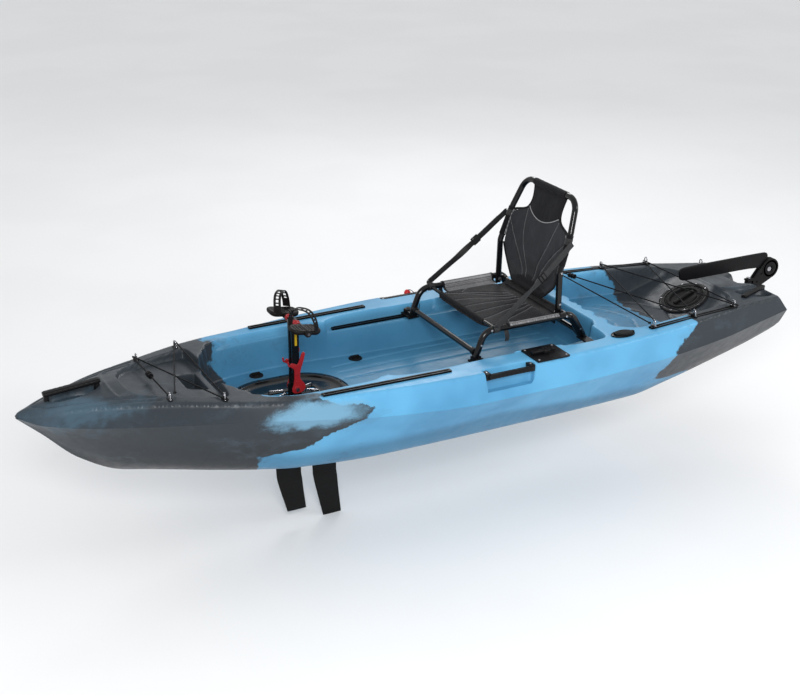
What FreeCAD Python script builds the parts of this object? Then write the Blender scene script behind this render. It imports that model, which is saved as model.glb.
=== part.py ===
import FreeCAD, Part
import math
import os
from FreeCAD import Vector

# Pedal-drive sit-on-top kayak, millimetres. +X bow, +Y port, +Z up.
# The origin is on the flat of the hull bottom, amidships, on the centre line.

# ---------------------------------------------------------------- driving dimensions
WALL = 5.0                 # hull and deck wall
BOW_X, STERN_X = 1600.0, -1600.0
DECK_Z = 348.0             # level gunwale top
FLOOR_Z = 194.0            # cockpit sole
LEDGE_Z = 304.0            # seat ledge
TANK_Z = 240.0             # tank well floor
RAMP_X, RAMP_Z, RAMP_TILT = -1250.0, 281.0, 22.0

# Table of offsets. x, keel z, flat (y, z), bilge (y, z), crease (y, z), gunwale (y, z), deck centre z
OFFSETS = [
    (-1600, 122, 120, 120, 202, 160, 256, 257, 240, 318, 320),
    (-1400, 92, 130, 84, 222, 112, 310, 252, 283, 332, 332),
    (-1200, 56, 160, 50, 248, 84, 362, 246, 333, 344, 344),
    (-1000, 24, 200, 22, 274, 60, 396, 240, 380, 348, 348),
    (-800, 0, 235, 0, 290, 42, 422, 236, 409, 348, 348),
    (-400, 0, 250, 0, 295, 38, 449, 233, 440, 348, 348),
    (0, 0, 252, 0, 296, 36, 451, 233, 443, 348, 348),
    (300, 0, 250, 0, 295, 38, 434, 246, 423, 348, 348),
    (650, 0, 215, 8, 280, 50, 395, 280, 374, 348, 348),
    (800, 4, 180, 18, 256, 64, 372, 298, 340, 356, 360),
    (950, 8, 130, 28, 222, 84, 338, 308, 292, 364, 372),
    (1100, 17, 85, 46, 172, 104, 293, 312, 230, 369, 384),
    (1250, 45, 45, 72, 100, 118, 230, 310, 172, 370, 392),
    (1400, 128, 18, 150, 48, 180, 160, 309, 110, 363, 386),
    (1520, 246, 10, 256, 24, 268, 78, 308, 55, 350, 364),
    (1600, 321, 3, 322, 5, 324, 13, 328, 11, 337, 341),
]
TRANSOM = [(-1522, -50), (-1522, 98), (-1600, 185), (-1600, 250), (-1566, 340), (-1566, 500)]
NOTCH_FORE, NOTCH_FORE_Y, NOTCH_AFT_Y = -1510.0, 38.0, 96.0

# Half outlines of the moulded wells, bow to stern: (x, y)
FOOTWELL_FLOOR = [(890, 88), (866, 140), (815, 205), (700, 264), (450, 278), (200, 262), (-100, 248),
                  (-638, 242)]
FOOTWELL_TOP = [(904, 92), (884, 150), (832, 222), (712, 292), (450, 300), (200, 276), (-100, 260),
                (-655, 256)]
LEDGE = [(335, 284), (270, 322), (100, 332), (-20, 322), (-390, 322), (-430, 356), (-585, 356),
         (-612, 330), (-622, 250)]
TANK_FLOOR = [(-712, 250), (-775, 296), (-830, 302), (-1090, 268), (-1280, 232), (-1355, 150),
              (-1372, 60)]
TANK_TOP = [(-690, 262), (-760, 318), (-820, 322), (-1095, 286), (-1295, 248), (-1368, 165),
            (-1384, 60)]
BOW_WELL = [(1235, 60), (1205, 118), (1100, 178), (950, 236), (915, 246), (898, 180)]
POCKET = [(1007, 60), (990, 70), (932, 80), (928, 70)]
WELL_X0, WELL_X1, WELL_Y = 392.0, 742.0, 44.0     # drive well through the hull
SCUPPERS = [(209, 222), (627, 240)]
SCUPPER_R, SCUPPER_WALL = 22.0, 5.0

TRACK_W, TRACK_H = 22.0, 9.0
FRONT_TRACK = ((101, 363, DECK_Z - 2), (609, 352, DECK_Z - 2))
REAR_TRACK = ((-804, 354, DECK_Z - 2), (-1278, 297, DECK_Z - 10.7))
SEAT_RAIL = ((278, 296, LEDGE_Z - 1), (-110, 296, LEDGE_Z - 1))

CRANK = Vector(567, 0, 232)          # pedal arm shaft
ARM_TOP_Z, ARM_DEPTH = 497.0, 30.0
ARM_Y0, ARM_Y1 = 6.0, 22.0
PEDAL_Y0, PEDAL_Y1, PEDAL_LONG = 56.0, 144.0, 118.0
FIN_AXLE_Z = -14.0
FINS = {"fore": (616.0, 106.0, -292.0), "aft": (466.0, 104.0, -345.0)}   # x, root chord, tip z

PINTLE_X, HUB = -1598.0, Vector(-1697, 0, 349)
BLADE_Z0, BLADE_Z1, BLADE_TIP_X = 362.0, 426.0, -1207.0

SEAT_TUBE_R = 12.5
SEAT_SIDE_Y = 257.0
SEAT_PIVOT = Vector(-450, 0, 430)
BACK_Y = 225.0
BACK_TUBE_R = 12.0
ABOVE_ALL = 520.0          # clear of the deck, for cutting down into it

# Flat planes at which the moulding is divided into simple solids: the x planes of a stretch, then the
# distances of its y planes from the centre line
HALF_BEAM_CLEAR = 600.0
DECK_STRIPS = (
    ((STERN_X - 1, -1390), (0,)),
    ((-1390, -1150, -1090, -880, -714, -702), (248, 290)),
    ((-702, -696), (236, 290)),
    ((-696, -648), (236, 290, 330, 378)),
    ((-648, -520, -221), (236, 290)),
    ((-221, 0), (236, 290, 404)),
    ((0, 60, 340, 560, 720, 800, 862), (236, 290)),
    ((862, 897), (0,)),
    ((897, 928), (170,)),
    ((928, 1007), (60, 85, 170)),
    ((1007, 1100), (170,)),
    ((1100, 1240, 1312), (0,)),
    ((1312, 1335, 1467, 1490), (24,)),
    ((1490, BOW_X + 1), (0,)),
)
HULL_STRIPS = (
    ((STERN_X - 1, -1400, -1200), (120,)),
    ((-1200, -1000, -800), (190,)),
    ((-800, -300, 387), (245,)),
    ((387, 747), (48, 215)),
    ((747, 900), (150,)),
    ((900, 1050, 1200), (60,)),
    ((1200, 1350, BOW_X + 1), (0,)),
)


# ---------------------------------------------------------------- helpers
def V(x, y, z):
    return Vector(x, y, z)


def export(name, shape):
    os.makedirs("parts", exist_ok=True)
    shape.exportStep("parts/" + name + ".step")


def group(shapes):
    return Part.makeCompound(shapes)


def mirror_y(shape):
    return shape.mirror(V(0, 0, 0), V(0, 1, 0))


def both(shape):
    return group([shape, mirror_y(shape)])


def box(x0, x1, y0, y1, z0, z1):
    return Part.makeBox(x1 - x0, y1 - y0, z1 - z0, V(x0, y0, z0))


def cyl(r, h, base, axis=V(0, 0, 1)):
    return Part.makeCylinder(r, h, base, axis)


def rod_y(r, y0, y1, x, z):
    return cyl(r, y1 - y0, V(x, y0, z), V(0, 1, 0))


def fuse(shapes):
    out = shapes[0].multiFuse(shapes[1:]) if len(shapes) > 1 else shapes[0]
    return out.removeSplitter()


def polygon(points):
    return Part.Wire(Part.makePolygon(points + [points[0]]))


def loft(wires):
    return Part.makeLoft(wires, True, True)


def rounded_path(points, radius):
    """Straight runs between points, joined by tangent arcs of the given radius."""
    edges = []
    start = points[0]
    for before, corner, after in zip(points, points[1:], points[2:]):
        a = (before - corner).normalize()
        b = (after - corner).normalize()
        half = a.getAngle(b) / 2
        reach = radius / math.tan(half)
        mid_dir = (a + b).normalize()
        middle = corner + mid_dir * (radius / math.sin(half) - radius)
        p, q = corner + a * reach, corner + b * reach
        edges.append(Part.LineSegment(start, p).toShape())
        edges.append(Part.Arc(p, middle, q).toShape())
        start = q
    edges.append(Part.LineSegment(start, points[-1]).toShape())
    return Part.Wire(edges)


def tube(points, r, radius, bore=0.0):
    path = rounded_path(points, radius) if len(points) > 2 else Part.Wire(Part.makePolygon(points))
    along = points[1] - points[0]
    skins = []
    for size in (r, bore):
        if size:
            ring = Part.Wire(Part.makeCircle(size, points[0], along))
            skins.append(path.makePipeShell([ring], True, True))
    return skins[0].cut(skins[1]) if bore else skins[0]


def prism_xz(points, y0, y1):
    face = Part.Face(polygon([V(x, y0, z) for x, z in points]))
    return face.extrude(V(0, y1 - y0, 0))


def prism_xy(points, z0, z1):
    face = Part.Face(polygon([V(x, y, z0) for x, y in points]))
    return face.extrude(V(0, 0, z1 - z0))


def stadium(x0, x1, half, z0, z1):
    """Plate with round ends, from x0 to x1 and half wide each side."""
    body = box(x0 + half, x1 - half, -half, half, z0, z1)
    ends = [cyl(half, z1 - z0, V(x, 0, z0)) for x in (x0 + half, x1 - half)]
    return fuse([body] + ends)


# ---------------------------------------------------------------- hull and deck
def lower_wire(row, inset):
    x, keel, yf, zf, yb, zb, yc, zc, _, _, _ = row
    half = [(yc - inset, zc), (yb - inset, zb + 0.5 * inset), (yf - 0.5 * inset, zf + inset)]
    return ring_wire(x, half, keel + inset)


def upper_wire(row, inset):
    x, _, _, _, _, _, yc, zc, yg, zg, zd = row
    half = [(yc - inset, zc), (yg - inset, zg - inset)]
    return ring_wire(x, half, zd - inset)


def ring_wire(x, half, centre_z):
    """Closed section: port side from the crease to the centre line, then back up to starboard."""
    port = [V(x, y, z) for y, z in half]
    starboard = [V(x, -y, z) for y, z in reversed(half)]
    return polygon(port + [V(x, 0, centre_z)] + starboard)


def hull_volume(wire_of, inset):
    rows = OFFSETS if inset == 0 else OFFSETS[:-1]
    shape = loft([wire_of(row, inset) for row in rows])
    transom = [(x + inset, z) for x, z in TRANSOM]
    shape = shape.common(prism_xz(transom + [(1700, 500), (1700, -50)], -600, 600))
    return shape.cut(stern_notch(inset))


def stern_notch(grow):
    """Wedge between the two stern lobes, where the rudder hangs."""
    aft, fore = STERN_X - 20, NOTCH_FORE + grow
    wide, narrow = NOTCH_AFT_Y + grow, NOTCH_FORE_Y + grow
    return prism_xy([(aft, -wide), (fore, -narrow), (fore, narrow), (aft, wide)], -60, 520)


def grown(outline, grow):
    """Half outline moved outwards, then closed with its mirror image."""
    xs = [x for x, _ in outline]
    mid, reach = (max(xs) + min(xs)) / 2, (max(xs) - min(xs)) / 2
    half = [(mid + (x - mid) * (1 + grow / reach), y + grow) for x, y in outline]
    return half + [(x, -y) for x, y in reversed(half)]


def tub(levels, grow):
    """Well with a flat bottom: levels are (z, half outline), lowest first; open above the last."""
    floor_z = levels[0][0] - grow
    top_z, top = levels[-1]
    if len(levels) == 1:
        return prism_xy(grown(top, grow), floor_z, ABOVE_ALL)
    heights = [floor_z] + [z for z, _ in levels[1:]]
    wires = []
    for z, (_, outline) in zip(heights, levels):
        wires.append(polygon([V(x, y, z) for x, y in grown(outline, grow)]))
    return loft(wires).fuse(prism_xy(grown(top, grow), top_z, ABOVE_ALL))


def ramp(grow):
    """Sloping bed under the hatch, filling the aft end of the tank well."""
    aft, fore = -1450, -1100
    slope = math.tan(math.radians(RAMP_TILT))
    aft_z, fore_z = [RAMP_Z + (RAMP_X - x) * slope - grow for x in (aft, fore)]
    return prism_xz([(aft, 100), (aft, aft_z), (fore, fore_z), (fore, 100)], -400, 400)


def bow_well(grow):
    """Shallow sloping cargo deck under the bow cord."""
    upper = prism_xy(grown(BOW_WELL, grow), 200, ABOVE_ALL)
    slope = [(860, 318 - grow), (1260, 374 - grow), (1260, 600), (860, 600)]
    return upper.common(prism_xz(slope, -400, 400))


def ellipse_well(x, y, a, b, turn, z0, grow):
    edge = Part.Ellipse(V(x, y, z0 - grow), a + grow, b + grow).toShape()
    edge.rotate(V(x, y, z0), V(0, 0, 1), turn)
    return Part.Face(Part.Wire(edge)).extrude(V(0, 0, ABOVE_ALL - z0))


def side_recess(side, grow):
    """Finger recess in the gunwale, behind a side handle."""
    shape = box(-221 - grow, grow, 404 - grow, 600, 268 - grow, ABOVE_ALL)
    return shape if side > 0 else mirror_y(shape)


def wells(grow):
    parts = [
        tub([(FLOOR_Z, FOOTWELL_FLOOR), (LEDGE_Z, FOOTWELL_TOP)], grow),
        tub([(LEDGE_Z, LEDGE)], grow),
        tub([(TANK_Z, TANK_FLOOR), (DECK_Z, TANK_TOP)], grow).cut(ramp(grow)),
        bow_well(grow),
        tub([(272, POCKET)], grow),
        ellipse_well(1400, 0, 92, 48, 0, 344, grow),
        ellipse_well(-1478, 170, 84, 52, -24, 296, grow),
        side_recess(1, grow),
        side_recess(-1, grow),
    ]
    return parts


def scupper_posts(r, z0=-10.0, z1=FLOOR_Z + 40):
    return [cyl(r, z1 - z0, V(x, s * y, z0)) for x, y in SCUPPERS for s in (1, -1)]


def rod_axis(side):
    return V(-672, side * 354, 0)


HATCH_UP = V(math.sin(math.radians(RAMP_TILT)), 0, math.cos(math.radians(RAMP_TILT)))
HATCH_C = V(RAMP_X, 0, RAMP_Z)


def hull_and_deck():
    lower = hull_volume(lower_wire, 0)
    upper = hull_volume(upper_wire, 0)
    outer = lower.fuse(upper)
    hull = lower.cut(hull_volume(lower_wire, WALL))
    deck = upper.cut(hull_volume(upper_wire, WALL))

    well_outer = box(WELL_X0 - WALL, WELL_X1 + WALL, -WELL_Y - WALL, WELL_Y + WALL, -10, FLOOR_Z)
    trunk = [well_outer] + scupper_posts(SCUPPER_R + SCUPPER_WALL, -10, FLOOR_Z)
    trunk = [t.common(outer) for t in trunk]
    ridges = [box(-572, -194, y, y + 24, LEDGE_Z - 2, LEDGE_Z + 17) for y in (294, -318)]
    walls = [w.common(outer) for w in wells(WALL)]
    deck = deck.multiFuse(walls + trunk)
    for void in wells(0.0):
        deck = deck.cut(void)
    deck = deck.multiFuse(ridges)
    deck = deck.cut(box(WELL_X0, WELL_X1, -WELL_Y, WELL_Y, -20, FLOOR_Z + 20))
    for post in scupper_posts(SCUPPER_R):
        deck = deck.cut(post)
    for side in (1, -1):
        deck = deck.cut(cyl(24.6, 120, rod_axis(side) + V(0, 0, 300)))
    deck = deck.cut(cyl(92, 80, HATCH_C - HATCH_UP * 40, HATCH_UP))
    for ends in (FRONT_TRACK, REAR_TRACK, SEAT_RAIL):
        for blank in rails(ends, slotted=False):
            deck = deck.cut(blank)
    hull = hull.cut(well_outer)
    for post in scupper_posts(SCUPPER_R + SCUPPER_WALL):
        hull = hull.cut(post)
    return hull, deck, outer


def divided(moulding, strips):
    """The moulding divided at flat planes, so that every solid is close to its own convex hull."""
    pieces = []
    for xs, ys in strips:
        planes = sorted({-HALF_BEAM_CLEAR, HALF_BEAM_CLEAR} | {side * y for y in ys for side in (1, -1)})
        for x0, x1 in zip(xs, xs[1:]):
            for y0, y1 in zip(planes, planes[1:]):
                pieces += moulding.common(box(x0, x1, y0, y1, -100, ABOVE_ALL)).Solids
    return pieces


# ---------------------------------------------------------------- deck hardware
def rail(start, end, slotted=True):
    """Track between two points of its underside; slotted for the T-headed bolts that it takes."""
    start, end = V(*start), V(*end)
    run = end - start
    length = run.Length
    body = box(0, length, -TRACK_W / 2, TRACK_W / 2, 0, TRACK_H)
    if slotted:
        body = body.cut(box(8, length - 8, -4, 4, 3, TRACK_H + 1))
        body = body.cut(box(8, length - 8, -7.5, 7.5, 3, 6))
    body.rotate(V(0, 0, 0), V(0, 1, 0), -math.degrees(math.asin(run.z / length)))
    body.rotate(V(0, 0, 0), V(0, 0, 1), math.degrees(math.atan2(run.y, run.x)))
    body.translate(start)
    return body


def rails(ends, slotted=True):
    one = rail(*ends, slotted)
    return [one, mirror_y(one)]


def track_top(x):
    """Height of the rear track's upper face at x."""
    (x0, _, z0), (x1, _, z1) = REAR_TRACK
    return z0 + (z1 - z0) * (x - x0) / (x1 - x0) + TRACK_H


def bar_handle(p, q, half_width, height):
    """Straight grip on two feet, between the plan points p and q."""
    along = (q - p).normalize()
    length = (q - p).Length
    grip = box(0, length, -half_width, half_width, 0, height)
    grip = grip.makeFillet(height * 0.42, [e for e in grip.Edges if e.Length > length * 0.9])
    turn = math.degrees(math.atan2(along.y, along.x))
    pitch = math.degrees(math.asin(along.z))
    grip.rotate(V(0, 0, 0), V(0, 1, 0), -pitch)
    grip.rotate(V(0, 0, 0), V(0, 0, 1), turn)
    grip.translate(p)
    return grip


def bow_handle():
    feet = [box(1303, 1322, -13, 13, 370, 408), box(1482, 1500, -13, 13, 350, 390)]
    return fuse([bar_handle(V(1301, 0, 400), V(1502, 0, 383), 15, 17)] + feet)


def side_handle():
    """Grip across the recess in the gunwale, on two feet let into the recess's back wall."""
    grip = bar_handle(V(-206, 440, 321), V(-15, 440, 321), 12, 18)
    feet = [box(x - 10, x + 10, 404, 442, 318, 342) for x in (-205, -16)]
    return fuse([grip] + feet)


def pad_eye(x, y, z, side):
    """Plate with an upright arch; the arch's inner leg is the one the cord runs round."""
    plate = box(x - 9, x + 9, y - 16, y + 16, z, z + 3)
    legs = [cyl(2.5, 15, V(x, y - s * 8, z + 3)) for s in (1, -1)]
    bow = Part.makeTorus(8, 2.5, V(x, y, z + 18), V(1, 0, 0))
    bow = bow.common(box(x - 20, x + 20, y - 20, y + 20, z + 18, z + 40))
    return fuse([plate] + legs + [bow])


def deck_z(x):
    """Height of the deck edge at x, from the table of offsets."""
    for a, b in zip(OFFSETS, OFFSETS[1:]):
        if a[0] <= x <= b[0]:
            return a[9] + (b[9] - a[9]) * (x - a[0]) / (b[0] - a[0])
    return DECK_Z


BOW_EYES = [(1112, 192), (939, 262)]
TRACK_EYES = [(-822, 352), (-1040, 326), (-1262, 299)]
BOW_EYE_Z = [371.6, 364.4]
CORD_R, CORD_TURN = 2.8, 7.0


def laced(route, lift):
    """Corner points of a cord that runs round the inner legs of pad eyes at each (x, y, z)."""
    points = [V(x, y, z + dz) for (x, y, z), dz in zip(route, lift)]
    path = [points[0]]
    for before, here, after in zip(points, points[1:], points[2:]):
        a, b = (before - here).normalize(), (after - here).normalize()
        half = a.getAngle(b) / 2
        path.append(here - (a + b).normalize() * (CORD_TURN / math.sin(half)))
    path.append(points[-1])
    return path


def cord(path):
    """Elastic cord with a stopper knot at each end."""
    knots = [Part.makeSphere(5.5, p) for p in (path[0], path[-1])]
    return fuse([tube(path, CORD_R, CORD_TURN)] + knots)


def inner_leg(x, y, z, side):
    return (x, side * (y - 8), z)


def bow_lacing():
    pf, pa = [inner_leg(x, y, z + 7, 1) for (x, y), z in zip(BOW_EYES, BOW_EYE_Z)]
    sf, sa = [inner_leg(x, y, z + 7, -1) for (x, y), z in zip(BOW_EYES, BOW_EYE_Z)]
    start = (pf[0] - 3, pf[1] - 18, pf[2])
    end = (pf[0] - 24, pf[1] - 8, pf[2])
    return laced([start, sf, pa, sa, end], [0, 0, 0, 9, 9])


def tank_lacing():
    port = [inner_leg(x, y, track_top(x) + 6, 1) for x, y in TRACK_EYES]
    star = [inner_leg(x, y, track_top(x) + 6, -1) for x, y in TRACK_EYES]
    (pf, pm, pa), (sf, sm, sa) = port, star
    start = (pf[0] + 3, pf[1] - 18, pf[2])
    end = (pf[0] - 16, pf[1] - 16, pf[2])
    return laced([start, sf, pm, sa, pa, sm, end], [0, 0, 0, -3, 4, 9, 9])


def cord_lock(p, q, share):
    """Barrel with two end collars, sliding on a cord from p to q."""
    along = (q - p).normalize()
    mid = p + (q - p) * share
    body = cyl(8, 34, mid - along * 17, along)
    collars = [cyl(10.5, 6, mid + along * d, along) for d in (-17, 11)]
    return fuse([body] + collars).cut(cyl(CORD_R + 0.3, 60, mid - along * 30, along))


ROD_R, ROD_DEPTH = 21.5, 144.0


def rod_holder(side):
    """Flush rod holder: oval flange and a closed socket."""
    c = rod_axis(side)
    flange = Part.Face(Part.Wire(Part.Ellipse(c + V(0, 0, DECK_Z), 52, 31).toShape())).extrude(V(0, 0, 5))
    socket = cyl(24, 150, c + V(0, 0, DECK_Z - 150))
    return fuse([flange, socket]).cut(cyl(ROD_R, 160, c + V(0, 0, DECK_Z - ROD_DEPTH)))


CAP_HINGE = 36.5           # hinge line ahead of the socket


def rod_cap(side):
    """Lid over the socket, hinged at its fore end."""
    c = rod_axis(side)
    lid = Part.Face(Part.Wire(Part.Ellipse(c + V(-4, 0, DECK_Z + 5.4), 40, 27).toShape())).extrude(V(0, 0, 5))
    plug = cyl(20, 10, c + V(0, 0, DECK_Z - 4))
    barrel = rod_y(3, c.y - 9, c.y + 9, c.x + CAP_HINGE, DECK_Z + 8.6)
    tab = box(c.x - 52, c.x - 40, c.y - 7, c.y + 7, DECK_Z + 5.4, DECK_Z + 9)
    return fuse([lid, plug, barrel, tab])


def scupper_plug(x, y):
    body = Part.makeCone(20, 21.4, 34, V(x, y, FLOOR_Z - 34))
    flange = cyl(28, 4, V(x, y, FLOOR_Z))
    tab = box(x - 17, x + 17, y - 3.5, y + 3.5, FLOOR_Z + 4, FLOOR_Z + 15)
    return fuse([body, flange, tab])


def hatch():
    def disc(r, h0, h1):
        return cyl(r, h1 - h0, HATCH_C + HATCH_UP * h0, HATCH_UP)
    ring = fuse([disc(109, 0, 7), disc(91.5, -22, 0)]).cut(disc(84, -30, 10))
    lid = fuse([disc(83.4, -14, 5), disc(74, 5, 9)]).cut(disc(60, 1, 20))
    grip = box(-52, 52, -8, 8, 1, 14)
    grip.rotate(V(0, 0, 0), V(0, 1, 0), RAMP_TILT)
    grip.translate(HATCH_C)
    lid = fuse([lid, grip])
    side = V(HATCH_UP.z, 0, -HATCH_UP.x)
    screws = []
    for i in range(10):
        a = math.radians(36 * i + 18)
        at = HATCH_C + side * (100 * math.cos(a)) + V(0, 100 * math.sin(a), 0)
        screws.append(cyl(3.4, 2.2, at + HATCH_UP * 7, HATCH_UP))
    return ring, lid, screws


def cord_locks():
    bow, tank = bow_lacing(), tank_lacing()
    return [cord_lock(bow[0], bow[1], 0.5), cord_lock(tank[1], tank[2], 0.16)]


# Rudder toggle: a ball on a short line from the seat rail over the starboard gunwale
BALL_R, LINE_R = 14.0, 1.5
BALL = V(-152, -466.6, 333)
TOGGLE_LINE = [V(-124, -310, 306), V(-134, -314, 359), V(-146, -396, 360), V(-150, -447, 357),
               V(-152, -463, 344)]


def toggle_line():
    return tube(TOGGLE_LINE, LINE_R, 9)


def toggle_ball():
    along = (TOGGLE_LINE[-1] - TOGGLE_LINE[-2]).normalize()
    bore = cyl(LINE_R + 0.05, 30, TOGGLE_LINE[-1] - along * 14, along)
    return Part.makeSphere(BALL_R, BALL).cut(bore)


# ---------------------------------------------------------------- pedal drive
def drive_plate():
    plate = stadium(346, 827, 180, FLOOR_Z, FLOOR_Z + 14)
    rim = [e for e in plate.Edges if abs(e.BoundBox.ZMin - FLOOR_Z - 14) < 0.1 and e.BoundBox.ZLength < 0.1]
    plate = plate.makeChamfer(9, rim)
    for x, y in SCUPPERS:
        for s in (1, -1):
            plate = plate.cut(cyl(31, 60, V(x, s * y, FLOOR_Z - 10)))
    return plate.cut(box(470, 664, -WELL_Y, WELL_Y, FLOOR_Z - 5, FLOOR_Z + 30))


def drive_spine():
    """Casting that fills the drive well and carries the crank shaft and the two fin axles."""
    body = box(405, 730, -30, 30, 20, FLOOR_Z)
    keel = box(405, 696, -16, 16, -28, 20)
    tower = box(541, 593, -5.4, 5.4, FLOOR_Z, 250)
    shape = fuse([body, keel, tower])
    shape = shape.cut(rod_y(7.05, -60, 60, CRANK.x, CRANK.z))
    for x, _, _ in FINS.values():
        shape = shape.cut(box(x - 19, x + 19, -40, 40, -40, 12))
        shape = shape.cut(cyl(6.05, 68, V(x - 34, 0, FIN_AXLE_Z), V(1, 0, 0)))
    return shape


def fin_mast(x):
    """Hub on a short fore-and-aft axle, with the mast that the fin slides onto."""
    hub = cyl(13, 36, V(x - 18, 0, FIN_AXLE_Z), V(1, 0, 0))
    axle = cyl(6, 66, V(x - 33, 0, FIN_AXLE_Z), V(1, 0, 0))
    mast = cyl(5, 120, V(x, 0, FIN_AXLE_Z - 130), V(0, 0, 1))
    return fuse([hub, axle, mast])


def fin(x, chord, tip_z):
    """Swept, tapered flexible fin, thick at the mast and thin at its trailing edge."""
    def wire(z, lead, trail, thick):
        nose = lead - thick
        return polygon([V(lead, 0, z), V(nose, thick, z), V(nose - 10, thick, z), V(trail, 1.6, z),
                        V(trail, -1.6, z), V(nose - 10, -thick, z), V(nose, -thick, z)])
    top = FIN_AXLE_Z - 36
    lead = x + 0.36 * chord
    middle = (top + tip_z) / 2
    shape = loft([wire(top, lead, lead - chord, 11),
                  wire(middle, lead - 12, lead - 12 - chord * 0.9, 8),
                  wire(tip_z, lead - 44, lead - 44 - chord * 0.62, 4)])
    return shape.cut(cyl(5, 96, V(x, 0, FIN_AXLE_Z - 130), V(0, 0, 1)))


def pedal_arm(side):
    """Upright tube from the crank shaft to the pedal axle."""
    y0, y1 = sorted((side * ARM_Y0, side * ARM_Y1))
    h = ARM_DEPTH / 2
    tube_ = box(CRANK.x - h, CRANK.x + h, y0, y1, CRANK.z, ARM_TOP_Z)
    ends = [rod_y(h, y0, y1, CRANK.x, z) for z in (CRANK.z, ARM_TOP_Z)]
    shape = fuse([tube_] + ends)
    shape = shape.cut(rod_y(7.05, y0 - 1, y1 + 1, CRANK.x, CRANK.z))
    return shape.cut(rod_y(6, y0 - 1, y1 + 1, CRANK.x, ARM_TOP_Z))


def crank_bracket(side):
    """Red length-adjusting bracket on the outer face of an arm, with two hooks."""
    y0, y1 = sorted((side * ARM_Y1, side * (ARM_Y1 + 6)))
    x, z = CRANK.x, CRANK.z
    outline = [(-22, -16), (18, -16), (24, 4), (12, 22), (10, 88), (26, 96), (26, 108), (6, 106), (-4, 96),
               (-16, 118), (-26, 146), (-34, 142), (-26, 104), (-16, 76), (-12, 40), (-32, 18), (-36, 2)]
    plate = prism_xz([(x + dx, z + dz) for dx, dz in outline], y0, y1)
    return plate.cut(rod_y(8.2, y0 - 1, y1 + 1, x, z))


def pedal_axle(side):
    """Red clevis cap on the arm's top and the pin that carries the pedal."""
    y0, y1 = sorted((side * (ARM_Y0 - 2), side * 148))
    pin = rod_y(6, y0, y1, CRANK.x, ARM_TOP_Z)
    c0, c1 = sorted((side * ARM_Y1, side * 50))
    collar = rod_y(12, c0, c1, CRANK.x, ARM_TOP_Z)
    return fuse([pin, collar])


def pedal(side):
    """Foot plate turning on the axle, with a raised heel lip."""
    y0, y1 = sorted((side * PEDAL_Y0, side * PEDAL_Y1))
    half = PEDAL_LONG / 2
    x, z = CRANK.x, ARM_TOP_Z
    outline = [(x - half, z + 4), (x - half + 8, z + 13), (x + half - 10, z + 13), (x + half, z + 4),
               (x + half - 12, z - 8), (x + 14, z - 13), (x - 14, z - 13), (x - half + 12, z - 8)]
    body = prism_xz(outline, y0, y1)
    body = body.cut(rod_y(6.05, y0 - 1, y1 + 1, x, z))
    body.rotate(V(x, 0, z), V(0, 1, 0), -10)
    return body


def pedal_strap(side):
    """Foot strap: an arch from the pedal's inner fore corner to its outer aft corner."""
    x, z = CRANK.x, ARM_TOP_Z
    p, q = V(x + 34, side * 60, z + 9), V(x - 34, side * 140, z + 9)
    mid, span = (p + q) * 0.5, (q - p).Length
    across = (q - p).normalize()
    edges = []
    for r in (span / 2, span / 2 - 3):
        a, b = mid - across * r, mid + across * r
        top = mid + V(0, 0, 78 if r == span / 2 else 75)
        lean = V(8, 0, 0)
        arch = Part.BSplineCurve()
        arch.interpolate([a, mid - across * (r * 0.92) + V(0, 0, 40) + lean * 0.5, top + lean,
                          mid + across * (r * 0.92) + V(0, 0, 40) + lean * 0.5, b])
        edges.append(arch.toShape())
    outer, inner = edges
    width = across.cross(V(0, 0, 1)).normalize() * 26
    face = Part.makeRuledSurface(outer, inner)
    strap = face.extrude(width)
    strap.translate(width * -0.5)
    body = strap.Solids[0] if strap.Solids else Part.Solid(strap)
    return body.cut(pedal(side))


# ---------------------------------------------------------------- rudder and steering
def rudder_bracket():
    plate = box(NOTCH_FORE - 6, NOTCH_FORE, -32, 32, 252, 316)
    arm = cyl(13, NOTCH_FORE - 6 - PINTLE_X, V(PINTLE_X, 0, 283), V(1, 0, 0))
    boss = cyl(15, 42, V(PINTLE_X, 0, 262))
    return fuse([plate, arm, boss]).cut(cyl(5.05, 60, V(PINTLE_X, 0, 255)))


def rudder_pintle():
    return fuse([cyl(5, 72, V(PINTLE_X, 0, 248)), cyl(9, 5, V(PINTLE_X, 0, 315))])


def rudder_head():
    """Fork round the bracket's boss, carrying two cheeks with the blade between them."""
    lugs = [box(PINTLE_X - 24, PINTLE_X + 13, -13, 13, z, z + 9) for z in (252.5, 305)]
    web = box(PINTLE_X - 26, PINTLE_X - 17.5, -13, 13, 252.5, 314)
    cheeks = []
    for y0, y1 in ((5.8, 13), (-13, -5.8)):
        disc = rod_y(46, y0, y1, HUB.x - 10, HUB.z)
        root = PINTLE_X - 20
        link = prism_xz([(root, 258), (root, 314), (HUB.x + 20, 388), (HUB.x - 10, 303)], y0, y1)
        lower = prism_xz([(root, 256), (root, 300), (HUB.x, 372), (HUB.x - 34, 310)], y0, y1)
        cheeks.append(fuse([disc, link, lower]))
    shape = fuse(lugs + [web] + cheeks)
    shape = shape.cut(cyl(5.05, 90, V(PINTLE_X, 0, 245)))
    return shape.cut(rod_y(6.05, -40, 40, HUB.x, HUB.z))


def rudder_bolt():
    shank = rod_y(6, -15, 15, HUB.x, HUB.z)
    heads = [rod_y(10, y, y + 4, HUB.x, HUB.z) for y in (13, -17)]
    return fuse([shank] + heads)


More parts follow.
